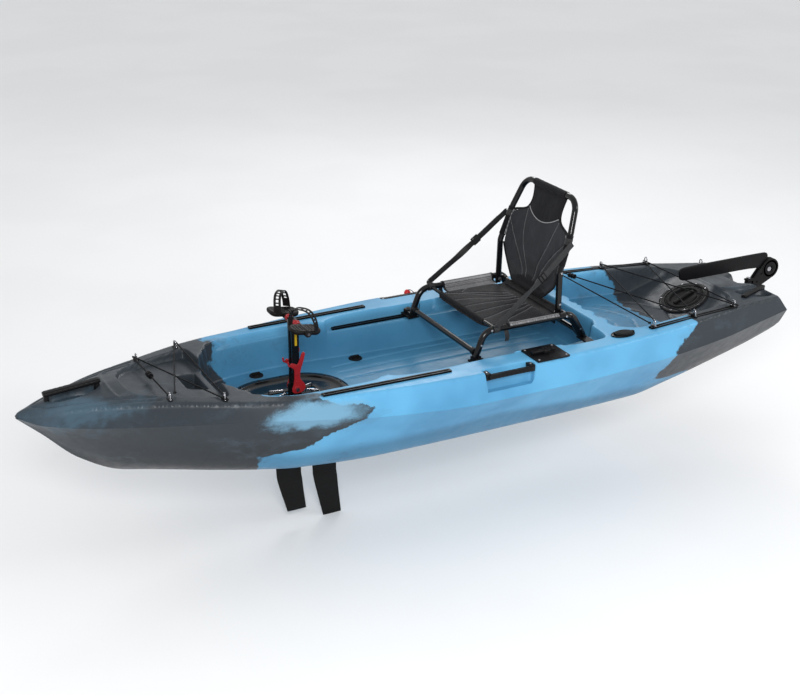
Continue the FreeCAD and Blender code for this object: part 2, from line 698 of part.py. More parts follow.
def rudder_blade():
    hub = rod_y(30, -5, 5, HUB.x, HUB.z)
    outline = [(HUB.x + 2, HUB.z + 14), (HUB.x + 2, BLADE_Z1), (BLADE_TIP_X - 14, BLADE_Z1 - 3),
               (BLADE_TIP_X, BLADE_Z1 - 16), (BLADE_TIP_X - 8, BLADE_Z0 + 8), (BLADE_TIP_X - 34, BLADE_Z0),
               (HUB.x + 60, BLADE_Z0), (HUB.x + 20, HUB.z - 8)]
    blade = prism_xz(outline, -5, 5)
    return fuse([hub, blade]).cut(rod_y(6.05, -20, 20, HUB.x, HUB.z))


STEER = V(-298, 381, DECK_Z + 5)


def steering_plate():
    plate = box(-370, -226, 318, 444, DECK_Z, DECK_Z + 5)
    plate = plate.makeFillet(8, [e for e in plate.Edges if abs(e.BoundBox.ZLength - 5) < 0.1])
    return fuse([plate, cyl(6, 22, STEER)])


def steering_lever():
    arm = box(STEER.x - 40, STEER.x + 62, STEER.y - 9, STEER.y + 9, STEER.z + 3, STEER.z + 15)
    hub = cyl(16, 17, STEER + V(0, 0, 0.4))
    return fuse([arm, hub]).cut(cyl(6.05, 40, STEER - V(0, 0, 5)))


# ---------------------------------------------------------------- seat
def seat_side():
    """Bent tube: front foot, up, along the pan, down to the rear foot."""
    y = SEAT_SIDE_Y
    points = [V(-66, y, 331), V(-104, y, 430), V(-488, y, 430), V(-548, y, 331)]
    return tube(points, SEAT_TUBE_R, 55)


def seat_frame():
    port = seat_side()
    return [port, mirror_y(port)]


def clear_of_sides(shape):
    """The shape with the bent side tubes taken out of it, so that it butts against them."""
    for side in seat_frame():
        shape = shape.cut(side)
    return shape


def seat_cross_tubes():
    reach = SEAT_SIDE_Y - 6
    places = [(11, -71, 345), (11, -540, 345), (7, -150, 430), (7, -490, 420)]
    return [clear_of_sides(rod_y(r, -reach, reach, x, z)) for r, x, z in places]


def front_foot(side):
    """Foot under the frame that reaches out over the rail."""
    y0, y1 = sorted((side * 240, side * 312))
    pad = box(-90, -42, y0, y1, LEDGE_Z + 8.4, LEDGE_Z + 15)
    s0, s1 = sorted((side * 246, side * 268))
    shoe = box(-84, -50, s0, s1, LEDGE_Z + 15, LEDGE_Z + 30)
    return clear_of_sides(fuse([pad, shoe])).cut(cyl(4.5, 60, V(-66, side * 296, LEDGE_Z - 10)))


def rear_foot(side):
    """Foot that bridges the ridge and hooks down outside it."""
    y0, y1 = sorted((side * 244, side * 336))
    pad = box(-566, -530, y0, y1, LEDGE_Z + 17.4, LEDGE_Z + 24)
    h0, h1 = sorted((side * 322, side * 336))
    hook = box(-566, -530, h0, h1, LEDGE_Z + 2, LEDGE_Z + 18)
    s0, s1 = sorted((side * 246, side * 268))
    shoe = box(-562, -534, s0, s1, LEDGE_Z + 23, LEDGE_Z + 29)
    return clear_of_sides(fuse([pad, hook, shoe]))


def seat_knob(side):
    """Clamp knob with a stud down into the rail."""
    at = V(-66, side * 296, LEDGE_Z + 15.4)
    head = cyl(17, 14, at + V(0, 0, 4))
    lobes = [cyl(6.5, 14, at + V(14 * math.cos(a), 14 * math.sin(a), 4)) for a in (0.0, 2.094, 4.189)]
    return fuse([head, cyl(9, 6, at), cyl(4, 18, at - V(0, 0, 11.5))] + lobes)


def seat_base_fabric():
    pad = box(-430, -134, -236, 236, 406, 422)
    return pad.makeFillet(7, pad.Edges)


def seat_back_frame():
    """One bent tube, hinge to hinge over the top of the back."""
    side = [V(-450, BACK_Y, 414), V(-452, BACK_Y - 4, 600), V(-500, BACK_Y - 14, 742),
            V(-542, BACK_Y - 46, 862)]
    points = side + [V(p.x, -p.y, p.z) for p in reversed(side)]
    frame = tube(points, BACK_TUBE_R, 62)
    for s in (1, -1):
        y0, y1 = sorted((s * 200, s * 250))
        frame = frame.cut(rod_y(4.1, y0, y1, SEAT_PIVOT.x, SEAT_PIVOT.z))
    return frame


def seat_back_fabric():
    """Padded panel hung inside the back frame."""
    def wire(x, z, half, thick):
        fore, aft = x + thick / 2, x - thick / 2
        return polygon([V(fore, half, z), V(fore, -half, z), V(aft, -half, z), V(aft, half, z)])
    levels = [(-446, 452, 110, 10), (-458, 520, 180, 14), (-456, 600, 202, 16), (-478, 680, 196, 16),
              (-502, 745, 188, 16), (-522, 790, 120, 14), (-535, 842, 116, 12)]
    return loft([wire(*level) for level in levels])


def seat_rear_panel():
    """Slack rear curtain between the pan and the rear cross tube."""
    return prism_xz([(-468, 372), (-462, 372), (-458, 400), (-464, 400)], -190, 190)


def strap_ends(side):
    return V(-490, side * 240, 712), V(-150, side * 271, 447)


def seat_strap(side):
    """Webbing from the back frame to the front corner of the pan."""
    top, low = strap_ends(side)
    along = (low - top).normalize()
    out = V(0, side, 0)
    flat = along.cross(out).normalize()
    corners = [flat * 12.5, flat * 12.5 + out * 2.2, flat * -12.5 + out * 2.2, flat * -12.5]
    return Part.Face(polygon([top + c for c in corners])).extrude(low - top)


def strap_buckle(side):
    top, low = strap_ends(side)
    along = (low - top).normalize()
    out = V(0, side, 0)
    flat = along.cross(out).normalize()
    at = top + (low - top) * 0.36 + out * 2.6
    corners = [flat * 17, flat * 17 + out * 5, flat * -17 + out * 5, flat * -17]
    return Part.Face(polygon([at + c for c in corners])).extrude(along * 30)


def pivot_bolt(side):
    y0, y1 = sorted((side * (BACK_Y - 17), side * (SEAT_SIDE_Y - SEAT_TUBE_R + 1)))
    h0, h1 = sorted((side * (BACK_Y - 17), side * (BACK_Y - 13)))
    shank = clear_of_sides(rod_y(4, y0, y1, SEAT_PIVOT.x, SEAT_PIVOT.z))
    return fuse([shank, rod_y(7.5, h0, h1, SEAT_PIVOT.x, SEAT_PIVOT.z)])


# ---------------------------------------------------------------- write every part
def main():
    hull, deck, outer = hull_and_deck()
    export("hull_shell", group(divided(hull, HULL_STRIPS)))
    export("deck_shell", group(divided(deck, DECK_STRIPS)))
    export("bow_handle", bow_handle().cut(outer))
    export("stern_handle", bar_handle(V(-1560, 138, 324), V(-1388, 214, 330), 12, 15).cut(outer))
    export("side_handles", both(side_handle()))
    export("front_tracks", group(rails(FRONT_TRACK)))
    export("rear_tracks", group(rails(REAR_TRACK)))
    export("seat_rails", group(rails(SEAT_RAIL)))
    eyes = [pad_eye(x, s * y, z, s) for (x, y), z in zip(BOW_EYES, BOW_EYE_Z) for s in (1, -1)]
    eyes.append(pad_eye(-1505, -215, deck_z(-1505), -1))
    export("pad_eyes", group([eye.cut(outer) for eye in eyes]))
    eyes = [pad_eye(x, s * y, track_top(x), s) for x, y in TRACK_EYES for s in (1, -1)]
    bed = group(rails(REAR_TRACK, slotted=False))
    export("track_eyes", group([eye.cut(bed) for eye in eyes]))
    export("bow_cord", cord(bow_lacing()))
    export("tank_cord", cord(tank_lacing()))
    export("cord_locks", group(cord_locks()))
    export("toggle_line", toggle_line())
    export("toggle_ball", toggle_ball())
    export("rod_holders", group([rod_holder(1), rod_holder(-1)]))
    export("rod_cap_port", rod_cap(1))
    export("rod_cap_starboard", rod_cap(-1))
    export("scupper_plugs", group([scupper_plug(x, s * y) for x, y in SCUPPERS for s in (1, -1)]))
    ring, lid, screws = hatch()
    export("hatch_ring", ring)
    export("hatch_lid", lid)
    export("hatch_screws", group(screws))

    export("drive_plate", drive_plate())
    export("drive_spine", drive_spine())
    export("crank_shaft", rod_y(7, -34, 34, CRANK.x, CRANK.z))
    for name, (x, chord, tip_z) in FINS.items():
        export("fin_mast_" + name, fin_mast(x))
        export("fin_" + name, fin(x, chord, tip_z))
    for name, s in (("port", 1), ("starboard", -1)):
        export("pedal_arm_" + name, pedal_arm(s))
        export("crank_bracket_" + name, crank_bracket(s))
        export("pedal_axle_" + name, pedal_axle(s))
        export("pedal_" + name, pedal(s))
        export("pedal_strap_" + name, pedal_strap(s))
        export("seat_knob_" + name, seat_knob(s))
        export("seat_strap_" + name, seat_strap(s))

    export("rudder_bracket", rudder_bracket())
    export("rudder_pintle", rudder_pintle())
    export("rudder_head", rudder_head())
    export("rudder_bolt", rudder_bolt())
    export("rudder_blade", rudder_blade())
    export("steering_plate", steering_plate())
    export("steering_lever", steering_lever())

    export("seat_side_tubes", group(seat_frame()))
    export("seat_cross_tubes", group(seat_cross_tubes()))
    export("seat_front_feet", group([front_foot(1), front_foot(-1)]))
    export("seat_rear_feet", group([rear_foot(1), rear_foot(-1)]))
    export("seat_base_fabric", seat_base_fabric())
    export("seat_back_frame", seat_back_frame())
    export("seat_back_fabric", seat_back_fabric())
    export("seat_rear_panel", seat_rear_panel())
    export("strap_buckles", group([strap_buckle(1), strap_buckle(-1)]))
    export("seat_pivot_bolts", group([pivot_bolt(1), pivot_bolt(-1)]))


main()
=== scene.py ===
from math import acos, copysign, cos, exp, pi, radians, sin, sqrt, tan, tau
import bmesh
import bpy
import numpy as np
from mathutils import Matrix, Quaternion, Vector
from mathutils.geometry import delaunay_2d_cdt


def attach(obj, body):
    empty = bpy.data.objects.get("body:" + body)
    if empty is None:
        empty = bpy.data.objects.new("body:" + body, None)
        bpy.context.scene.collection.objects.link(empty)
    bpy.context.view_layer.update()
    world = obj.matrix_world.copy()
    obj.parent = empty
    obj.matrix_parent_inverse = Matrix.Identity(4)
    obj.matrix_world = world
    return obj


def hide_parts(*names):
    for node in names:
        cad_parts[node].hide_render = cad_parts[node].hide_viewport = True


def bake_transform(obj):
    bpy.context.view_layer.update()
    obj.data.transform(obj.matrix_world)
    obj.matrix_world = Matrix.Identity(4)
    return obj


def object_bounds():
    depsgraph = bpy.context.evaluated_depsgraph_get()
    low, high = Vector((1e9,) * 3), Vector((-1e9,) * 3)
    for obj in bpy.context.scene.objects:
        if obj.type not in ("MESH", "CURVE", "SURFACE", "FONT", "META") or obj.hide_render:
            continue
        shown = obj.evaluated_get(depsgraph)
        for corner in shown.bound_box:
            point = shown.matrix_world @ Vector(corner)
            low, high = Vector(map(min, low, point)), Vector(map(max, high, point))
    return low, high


# Pedal-drive fishing kayak. Metres, +X bow, +Y port, +Z up. Outlines are in millimetres and are scaled by MM.
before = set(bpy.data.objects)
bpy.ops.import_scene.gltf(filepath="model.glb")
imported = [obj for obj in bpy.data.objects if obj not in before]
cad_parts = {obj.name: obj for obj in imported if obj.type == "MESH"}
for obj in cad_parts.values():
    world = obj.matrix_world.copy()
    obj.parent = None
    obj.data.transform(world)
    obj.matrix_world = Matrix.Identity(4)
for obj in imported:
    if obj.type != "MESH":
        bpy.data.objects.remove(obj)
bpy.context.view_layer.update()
MM = 0.001
SIDES = (("port", 1), ("starboard", -1))

# ---------------------------------------------------------------- the moulding's shape, millimetres
# Table of offsets. x, keel z, flat (y, z), bilge (y, z), crease (y, z), gunwale (y, z), deck centre z
OFFSETS = [
    (-1600, 122, 120, 120, 202, 160, 256, 257, 240, 318, 320),
    (-1400, 92, 130, 84, 222, 112, 310, 252, 283, 332, 332),
    (-1200, 56, 160, 50, 248, 84, 362, 246, 333, 344, 344),
    (-1000, 24, 200, 22, 274, 60, 396, 240, 380, 348, 348),
    (-800, 0, 235, 0, 290, 42, 422, 236, 409, 348, 348),
    (-400, 0, 250, 0, 295, 38, 449, 233, 440, 348, 348),
    (0, 0, 252, 0, 296, 36, 451, 233, 443, 348, 348),
    (300, 0, 250, 0, 295, 38, 434, 246, 423, 348, 348),
    (650, 0, 215, 8, 280, 50, 395, 280, 374, 348, 348),
    (800, 4, 180, 18, 256, 64, 372, 298, 340, 356, 360),
    (950, 8, 130, 28, 222, 84, 338, 308, 292, 364, 372),
    (1100, 17, 85, 46, 172, 104, 293, 312, 230, 369, 384),
    (1250, 45, 45, 72, 100, 118, 230, 310, 172, 370, 392),
    (1400, 128, 18, 150, 48, 180, 160, 309, 110, 363, 386),
    (1520, 246, 10, 256, 24, 268, 78, 308, 55, 350, 364),
    (1600, 321, 3, 322, 5, 324, 13, 328, 11, 337, 341),
]
COLUMN_NAMES = ("x", "keel", "flat_y", "flat_z", "bilge_y", "bilge_z",
                "crease_y", "crease_z", "gunwale_y", "gunwale_z", "deck_z")
COLUMN = {name: i for i, name in enumerate(COLUMN_NAMES)}
BOW, TRANSOM_TOP, TRANSOM = 1600.0, -1566.0, -1600.0
NOTCH_FORE, NOTCH_Y, NOTCH_TOP_Y, NOTCH_LOW_Y = -1510.0, 38.0, 69.0, 87.0
EDGE_R = 14.0              # rounding of the gunwale
CREASE_Z = 256.0           # height of the hull's crease across the transom
BOW_TOP_Y, BOW_LOW_Y, BOW_LOW_Z = 11.0, 13.0, 328.0
SIDE_STEP = 11.0           # spacing of the points along the gunwale
GRID, ROW = 15.0, 0.866    # spacing of the points that fill the deck, and of their rows as a share of it
FIELD_AFT, FIELD_LENGTH, FIELD_HALF = -1610, 3300, 460
DRIVE_WELL_AFT, DRIVE_WELL_FORE = 392, 742
SEAL = 0.00005             # points of the moulding closer than this, in metres, are one

FLOOR_Z, LEDGE_Z, TANK_Z = 194.0, 304.0, 240.0
RAMP_TURN = radians(22)
RAMP_X, RAMP_Z, RAMP_SLOPE = -1250.0, 281.0, tan(RAMP_TURN)
FOOTWELL = [(904, 0), (904, 92)]
FOOTWELL_SIDE = [(712, 292), (450, 300), (200, 276), (-100, 260), (-655, 256), (-655, 0)]
STAIR_FROM, STAIR_TO, STAIRS = (892, 118), (806, 262), 3
LEDGE = [(335, 0), (335, 284), (270, 322), (100, 332), (-20, 322), (-390, 322), (-430, 356), (-585, 356),
         (-612, 330), (-622, 250), (-622, 0)]
TANK_SIDE = [(-760, 318), (-820, 322), (-1095, 286), (-1295, 248), (-1368, 165), (-1384, 60), (-1384, 0)]
TANK_WALL_X, TANK_RIBS = -690.0, 5
BOW_WELL = [(1235, 0), (1235, 60), (1205, 118), (1100, 178), (950, 236), (912, 246), (897, 190), (897, 0)]
POCKET = [(1007, 0), (1007, 58), (990, 70), (932, 80), (928, 70), (928, 0)]


def monotone(xs, ys, x):
    """Cubic through the points that never overshoots them."""
    xs, ys, x = np.asarray(xs, float), np.asarray(ys, float), np.asarray(x, float)
    step = np.diff(xs)
    slope = np.diff(ys) / step
    tangent = np.zeros(len(xs))
    before, after = slope[:-1], slope[1:]
    inner = before * after > 0
    tangent[1:-1] = np.where(inner, 2 * before * after / np.where(inner, before + after, 1), 0)
    tangent[0], tangent[-1] = slope[0], slope[-1]
    i = np.clip(np.searchsorted(xs, x) - 1, 0, len(step) - 1)
    t = (x - xs[i]) / step[i]
    a = (1 + 2 * t) * (1 - t) ** 2 * ys[i] + t * (1 - t) ** 2 * step[i] * tangent[i]
    return a + t * t * (3 - 2 * t) * ys[i + 1] + t * t * (t - 1) * step[i] * tangent[i + 1]


TABLE = np.array(OFFSETS, float)


def at(name, x):
    """A column of the table of offsets at x."""
    return monotone(TABLE[:, 0], TABLE[:, COLUMN[name]], x)


def corner_cut(points, ratio=0.22, rounds=2, closed=True):
    """Rounds the corners of an outline, keeping most of each side."""
    p = np.array(points, float)
    for _ in range(rounds):
        q = np.roll(p, -1, 0) if closed else p[1:]
        a = p if closed else p[:-1]
        cut = np.empty((2 * len(a), p.shape[1]))
        cut[0::2], cut[1::2] = a + (q - a) * ratio, a + (q - a) * (1 - ratio)
        p = cut if closed else np.vstack([p[:1], cut, p[-1:]])
    return p


def distances(p):
    """Distance along a line at each of its points."""
    return np.concatenate([[0], np.cumsum(np.linalg.norm(np.diff(p, axis=0), axis=1))])


def points_at(p, s):
    """Points of a line at distances along it."""
    reach = distances(p)
    return np.stack([np.interp(s, reach, p[:, k]) for k in range(p.shape[1])], 1)


def resample(p, spacing, closed=True):
    """Points spaced evenly along an outline."""
    q = np.vstack([p, p[:1]]) if closed else p
    length = distances(q)[-1]
    count = max(3, int(round(length / spacing)))
    return points_at(q, np.linspace(0, length, count + 1)[:-1 if closed else None])


def mirrored(half):
    """Closed outline from its port half, which starts and ends on the centre line."""
    half = np.array(half, float)
    inner = half[np.abs(half[:, 1]) > 1e-6]
    return np.vstack([half, inner[::-1] * [1, -1]])


def nearest(points, line, closed=True):
    """Distance from each point to a polyline."""
    a = line if closed else line[:-1]
    b = np.roll(line, -1, 0) if closed else line[1:]
    best = np.full(len(points), 1e9)
    d = b - a
    length2 = np.maximum((d ** 2).sum(1), 1e-9)
    for k in range(0, len(points), 4000):
        p = points[k:k + 4000, None, :]
        t = np.clip(((p - a) * d).sum(2) / length2, 0, 1)
        best[k:k + 4000] = np.sqrt((((a + t[..., None] * d) - p) ** 2).sum(2)).min(1)
    return best


def inside(points, line):
    """Whether each point is inside a closed outline."""
    x, y = points[:, 0], points[:, 1]
    odd = np.zeros(len(points), bool)
    for (x0, y0), (x1, y1) in zip(line, np.roll(line, -1, 0)):
        if y0 != y1:
            crosses = ((y0 > y) != (y1 > y)) & (x < (x1 - x0) * (y - y0) / (y1 - y0) + x0)
            odd ^= crosses
    return odd


def signed(points, line):
    """Distance to a closed outline, negative inside it."""
    return np.where(inside(points, line), -1.0, 1.0) * nearest(points, line)


def offset_ring(line, distance):
    """The outline moved along its normals, outwards where distance is positive."""
    ahead, behind = np.roll(line, -1, 0), np.roll(line, 1, 0)
    t = ahead - behind
    n = np.stack([t[:, 1], -t[:, 0]], 1) / np.maximum(np.linalg.norm(t, axis=1), 1e-9)[:, None]
    area = 0.5 * np.sum(line[:, 0] * ahead[:, 1] - ahead[:, 0] * line[:, 1])
    return line + n * distance * (1 if area > 0 else -1)


def smooth(t):
    """From 0 to 1, level at both ends."""
    t = np.clip(t, 0, 1)
    return t * t * (3 - 2 * t)


def wall(t):
    """From 0 to 1 through rounded corners, with a straight middle."""
    return 0.5 * smooth(t) + 0.5 * smooth((np.clip(t, 0.18, 0.82) - 0.18) / 0.64)


# ---------------------------------------------------------------- the wells and grooves of the deck
def stairs():
    """Stepped corner of the footwell, seen as upright ribs on the fore bulkhead."""
    (x0, y0), (x1, y1) = STAIR_FROM, STAIR_TO
    points = []
    for i in range(STAIRS):
        a, b = i / STAIRS, (i + 1) / STAIRS
        xa, xb, ya, yb = x0 + (x1 - x0) * a, x0 + (x1 - x0) * b, y0 + (y1 - y0) * a, y0 + (y1 - y0) * b
        points += [(xa, ya), (xa - 2, yb - 14), (xb + 8, yb - 2)]
    return points


def tank_fore_wall():
    """Fore wall of the tank well, with upright ribs that stand aft of it."""
    points = [(TANK_WALL_X, 0)]
    pitch = 2 * 230 / TANK_RIBS
    for i in range(TANK_RIBS // 2 + 1):
        y = i * pitch
        if i:
            points += [(TANK_WALL_X, y - 27), (TANK_WALL_X - 15, y - 17)]
        points += [(TANK_WALL_X - 15, y + 17), (TANK_WALL_X, y + 27)]
    return points + [(TANK_WALL_X, 262)]


def ellipse(x, y, a, b, turn):
    """Outline with half axes a and b, turned by degrees."""
    out = []
    c, s = cos(radians(turn)), sin(radians(turn))
    for i in range(32):
        u, v = a * cos(i * tau / 32), b * sin(i * tau / 32)
        out.append((x + u * c - v * s, y + u * s + v * c))
    return np.array(out)


def circle(x, y, r):
    return ellipse(x, y, r, r, 0)


def tank_floor(x):
    return np.maximum(TANK_Z, RAMP_Z + (RAMP_X - x) * RAMP_SLOPE)


def bow_well_floor(x):
    return 318 + (x - 860) * 0.14


def level(z):
    return lambda x: np.full(np.shape(x), float(z))


def rectangle(x0, x1, y0, y1):
    return np.array([(x0, y0), (x1, y0), (x1, y1), (x0, y1)], float)


FORE_STEP = [(918, 0), (918, 96), (898, 130), (812, 268)]
FORE_STEP += [(x, y + 16) for x, y in FOOTWELL_SIDE[:2]] + [(330, 306), (330, 0)]
RECESS_AFT, RECESS_FORE, RECESS_IN, RECESS_OUT = -221, 0, 404, 520
ROD_X, ROD_Y = -672, 354

# (outline, width of the wall, floor height), outer ones first
WELLS = [
    (corner_cut(mirrored(LEDGE)), 16, level(LEDGE_Z)),
    (corner_cut(mirrored(FORE_STEP)), 12, level(LEDGE_Z + 14)),
    (corner_cut(mirrored(BOW_WELL)), 14, bow_well_floor),
    (corner_cut(mirrored(FOOTWELL + stairs() + FOOTWELL_SIDE), 0.2), 18, level(FLOOR_Z)),
    (corner_cut(mirrored(tank_fore_wall() + TANK_SIDE), 0.2), 22, tank_floor),
    (corner_cut(mirrored(POCKET), 0.15), 9, level(272)),
    (ellipse(1400, 0, 94, 49, 0), 12, level(346)),
    (ellipse(-1478, 170, 84, 52, -24), 14, level(297)),
    (corner_cut(rectangle(RECESS_AFT, RECESS_FORE, RECESS_IN, RECESS_OUT), 0.08), 13, level(269)),
    (corner_cut(rectangle(RECESS_AFT, RECESS_FORE, -RECESS_IN, -RECESS_OUT), 0.08), 13, level(269)),
    (rectangle(DRIVE_WELL_AFT, DRIVE_WELL_FORE, -43, 43), 3, level(150)),
    (circle(ROD_X, ROD_Y, 25), 1.2, level(190)),
    (circle(ROD_X, -ROD_Y, 25), 1.2, level(190)),
    (ellipse(RAMP_X, 0, 84, 90, 0), 2, lambda x: tank_floor(x) - 30),
]


def lines():
    """Grooves (depth below zero) and ridges of the deck: (points, half width, height)."""
    out = []
    for s in (1, -1):
        for groove in (((1568, 20), (1500, 62), (1380, 106), (1240, 150), (1140, 182)),
                       ((1540, 8), (1490, 44), (1380, 82), (1250, 124), (1150, 156))):
            out.append(([(x, s * y) for x, y in groove], 8, -5))
        for y, bend in ((62, 4), (122, 10), (184, 18)):
            out.append(([(330, s * y), (100, s * (y + bend)), (-250, s * (y + bend)), (-600, s * y)], 7, -4))
        for k in range(4):
            x = -800 - 92 * k
            out.append(([(x + 50, s * (210 - 10 * k)), (x - 30, s * 120), (x - 72, s * 20)], 7, -4))
        out.append(([(-1392, s * 78), (-1440, s * 98), (-1520, s * 96)], 9, 4))
        out.append(([(-590, s * 336), (-500, s * 338), (-410, s * 336)], 9, -12))
        out.append(([(-560, s * 306), (-400, s * 306), (-206, s * 306)], 15, 15))
    arc = [(1262 + 24 * cos(a), 118 * sin(a)) for a in np.linspace(-1.9, 1.9, 15)]
    out.append((arc, 9, 4))
    return [(resample(corner_cut(p, 0.25, 2, False), 9, False), w, h) for p, w, h in out]


def stretch(here, there, count, last=True):
    """Points from one place to another, without the first, and without the last if it is not wanted."""
    shares = np.linspace(0, 1, count)[1:None if last else -1]
    return [tuple(a + (b - a) * t for a, b in zip(here, there)) for t in shares]


def closed_round(port, stern, middle):
    """Closed line from its port side, its port half of the stern, and the middle of the notch."""
    flip = [1, -1, 1][:len(middle)]
    port, stern = np.array(port), np.array(stern)
    return np.vstack([port, port[::-1] * flip, stern * flip, [middle], stern[::-1]])


def boundary_loops():
    """Edge of the deck and the hull's crease below it, point for point, with the kind of each stretch."""
    top, low = [], []
    for x in np.concatenate([np.arange(TRANSOM_TOP, 1500, SIDE_STEP), np.linspace(1500, BOW, 16)]):
        xl = x + (TRANSOM - TRANSOM_TOP) * max(0.0, 1 - (x - TRANSOM_TOP) / 200)
        top.append((x, float(at("gunwale_y", x))))
        low.append((xl, float(at("crease_y", xl)), float(at("crease_z", xl))))
    top += stretch((BOW, BOW_TOP_Y), (BOW, 0), 5, last=False)
    low += stretch((BOW, BOW_LOW_Y, BOW_LOW_Z), (BOW, 0, BOW_LOW_Z), 5, last=False)
    corners_top = [(TRANSOM_TOP, float(at("gunwale_y", TRANSOM_TOP))), (TRANSOM_TOP, NOTCH_TOP_Y),
                   (NOTCH_FORE, NOTCH_Y), (NOTCH_FORE, 0.0)]
    corners_low = [(TRANSOM, float(at("crease_y", TRANSOM)), CREASE_Z), (TRANSOM, NOTCH_LOW_Y, CREASE_Z),
                   (NOTCH_FORE, NOTCH_Y, CREASE_Z), (NOTCH_FORE, 0.0, CREASE_Z)]
    stern_top, stern_low, stern_kind = [], [], []
    for i, (kind, count, last) in enumerate((("transom", 15, True), ("notch", 8, True), ("notch", 5, False))):
        stern_top += stretch(corners_top[i], corners_top[i + 1], count, last)
        stern_low += stretch(corners_low[i], corners_low[i + 1], count, last)
        stern_kind += [kind] * (len(stern_top) - len(stern_kind))
    kinds = ["side"] * (2 * len(top)) + stern_kind + ["notch"] + stern_kind[::-1]
    return (closed_round(top, stern_top, corners_top[-1]), closed_round(low, stern_low, corners_low[-1]),
            kinds)


def deck_height(points, edge):
    """Height of the deck at each plan point, wells and grooves included."""
    x, y = points[:, 0], points[:, 1]
    yg, zg, zd = at("gunwale_y", x), at("gunwale_z", x), at("deck_z", x)
    z = zd - (zd - zg) * np.clip(np.abs(y) / yg, 0, 1) ** 1.4
    near = np.clip(nearest(points, edge), 0, EDGE_R)
    z -= EDGE_R - np.sqrt(np.maximum(EDGE_R ** 2 - (EDGE_R - near) ** 2, 0))
    for outline, width, floor in WELLS:
        z0, z1 = outline.min(0) - 2, outline.max(0) + 2
        pick = (x > z0[0]) & (x < z1[0]) & (y > z0[1]) & (y < z1[1])
        if pick.any():
            t = wall(-signed(points[pick], outline) / width)
            low = np.minimum(floor(x[pick]), z[pick])
            z[pick] += (low - z[pick]) * t
    for line, width, height in lines():
        z0, z1 = line.min(0) - 3 * width, line.max(0) + 3 * width
        pick = (x > z0[0]) & (x < z1[0]) & (y > z0[1]) & (y < z1[1])
        if pick.any():
            d = nearest(points[pick], line, closed=False) / width
            z[pick] += height * np.where(np.abs(height) > 10, 1 - smooth((d - 0.6) / 0.4),
                                         np.exp(-(1.6 * d) ** 2))
    return z


def object_from(name, verts, faces):
    """Mesh object from points in metres and faces."""
    mesh = bpy.data.meshes.new(name)
    mesh.from_pydata([tuple(v) for v in verts], [], [tuple(int(i) for i in f) for f in faces])
    mesh.update()
    obj = bpy.data.objects.new(name, mesh)
    bpy.context.scene.collection.objects.link(obj)
    return obj


def shade(obj, angle=None):
    """Smooth shading, with sharp edges where faces meet at more than the angle."""
    for polygon in obj.data.polygons:
        polygon.use_smooth = True
    if angle:
        bm = bmesh.new()
        bm.from_mesh(obj.data)
        limit = radians(angle)
        for e in bm.edges:
            e.smooth = len(e.link_faces) == 2 and e.calc_face_angle(0) < limit
        bm.to_mesh(obj.data)
        bm.free()
    return obj


def deck_skin():
    """Deck as plan triangles lifted to its height, with its edge, the crease and the kind of each stretch."""
    edge, low, kind = boundary_loops()
    count = len(edge)
    points, links = [], []

    def add_line(line, closed):
        start = len(points)
        points.extend(map(tuple, line))
        links.extend((start + i, start + i + 1) for i in range(len(line) - 1))
        if closed:
            links.append((start + len(line) - 1, start))

    add_line(edge, True)
    dense = resample(edge, 14)
    for inset in (1.2, 4, 8, EDGE_R):
        ring = offset_ring(dense, -inset)
        ring = ring[nearest(ring, edge) > inset * 0.9]
        points.extend(map(tuple, ring))
    for outline, width, _ in WELLS:
        base = resample(outline, 7)
        for share in (-0.05, 0.1, 0.22, 0.5, 0.78, 0.9, 1.0):
            ring = offset_ring(base, -share * width)
            add_line(ring, True)
    for line, width, _ in lines():
        t = np.gradient(line, axis=0)
        n = np.stack([t[:, 1], -t[:, 0]], 1) / np.linalg.norm(t, axis=1)[:, None]
        for share in (-1.1, -0.55, 0, 0.55, 1.1):
            add_line(line + n * share * width, False)
    for r in range(int(FIELD_LENGTH / (GRID * ROW))):
        x = FIELD_AFT + r * GRID * ROW
        points.extend((x, y) for y in np.arange(-FIELD_HALF + (r % 2) * GRID / 2, FIELD_HALF, GRID))
    flat = np.array(points)
    keep = np.ones(len(flat), bool)
    keep[count:] = inside(flat[count:], edge) & (nearest(flat[count:], edge) > 0.8)
    index = np.cumsum(keep) - 1
    links = [(int(index[a]), int(index[b])) for a, b in links if keep[a] and keep[b]]
    flat = flat[keep]
    verts, _, faces, _, _, _ = delaunay_2d_cdt([Vector(p) for p in flat], links, [], 0, 0.05)
    plan = np.array([(v.x, v.y) for v in verts])
    tri = np.array([f for f in faces if len(f) == 3])
    middle = plan[tri].mean(1)
    tri = tri[inside(middle, edge)]
    ab, ac = plan[tri[:, 1]] - plan[tri[:, 0]], plan[tri[:, 2]] - plan[tri[:, 0]]
    flip = ab[:, 0] * ac[:, 1] - ab[:, 1] * ac[:, 0] < 0
    tri[flip] = tri[flip][:, ::-1]
    return np.column_stack([plan, deck_height(plan, edge)]), tri, edge, low, kind


def rake(z):
    """Foremost x of the stern at a height below the crease."""
    return np.interp(z, [98, 185], [-1522, -1600])


def section(x):
    """Port half of the lower hull at x, from the keel to the crease, corners rounded."""
    keep = [("flat_y", "flat_z"), ("bilge_y", "bilge_z"), ("crease_y", "crease_z")]
    half = [(0.0, float(at("keel", x)))] + [(float(at(a, x)), float(at(b, x))) for a, b in keep]
    return corner_cut(half, 0.2, 3, closed=False)


def bottom_height(x, y):
    """Height of the lower hull's skin at a plan point."""
    line = section(x)
    return float(np.interp(abs(y), line[:, 0], line[:, 1]))


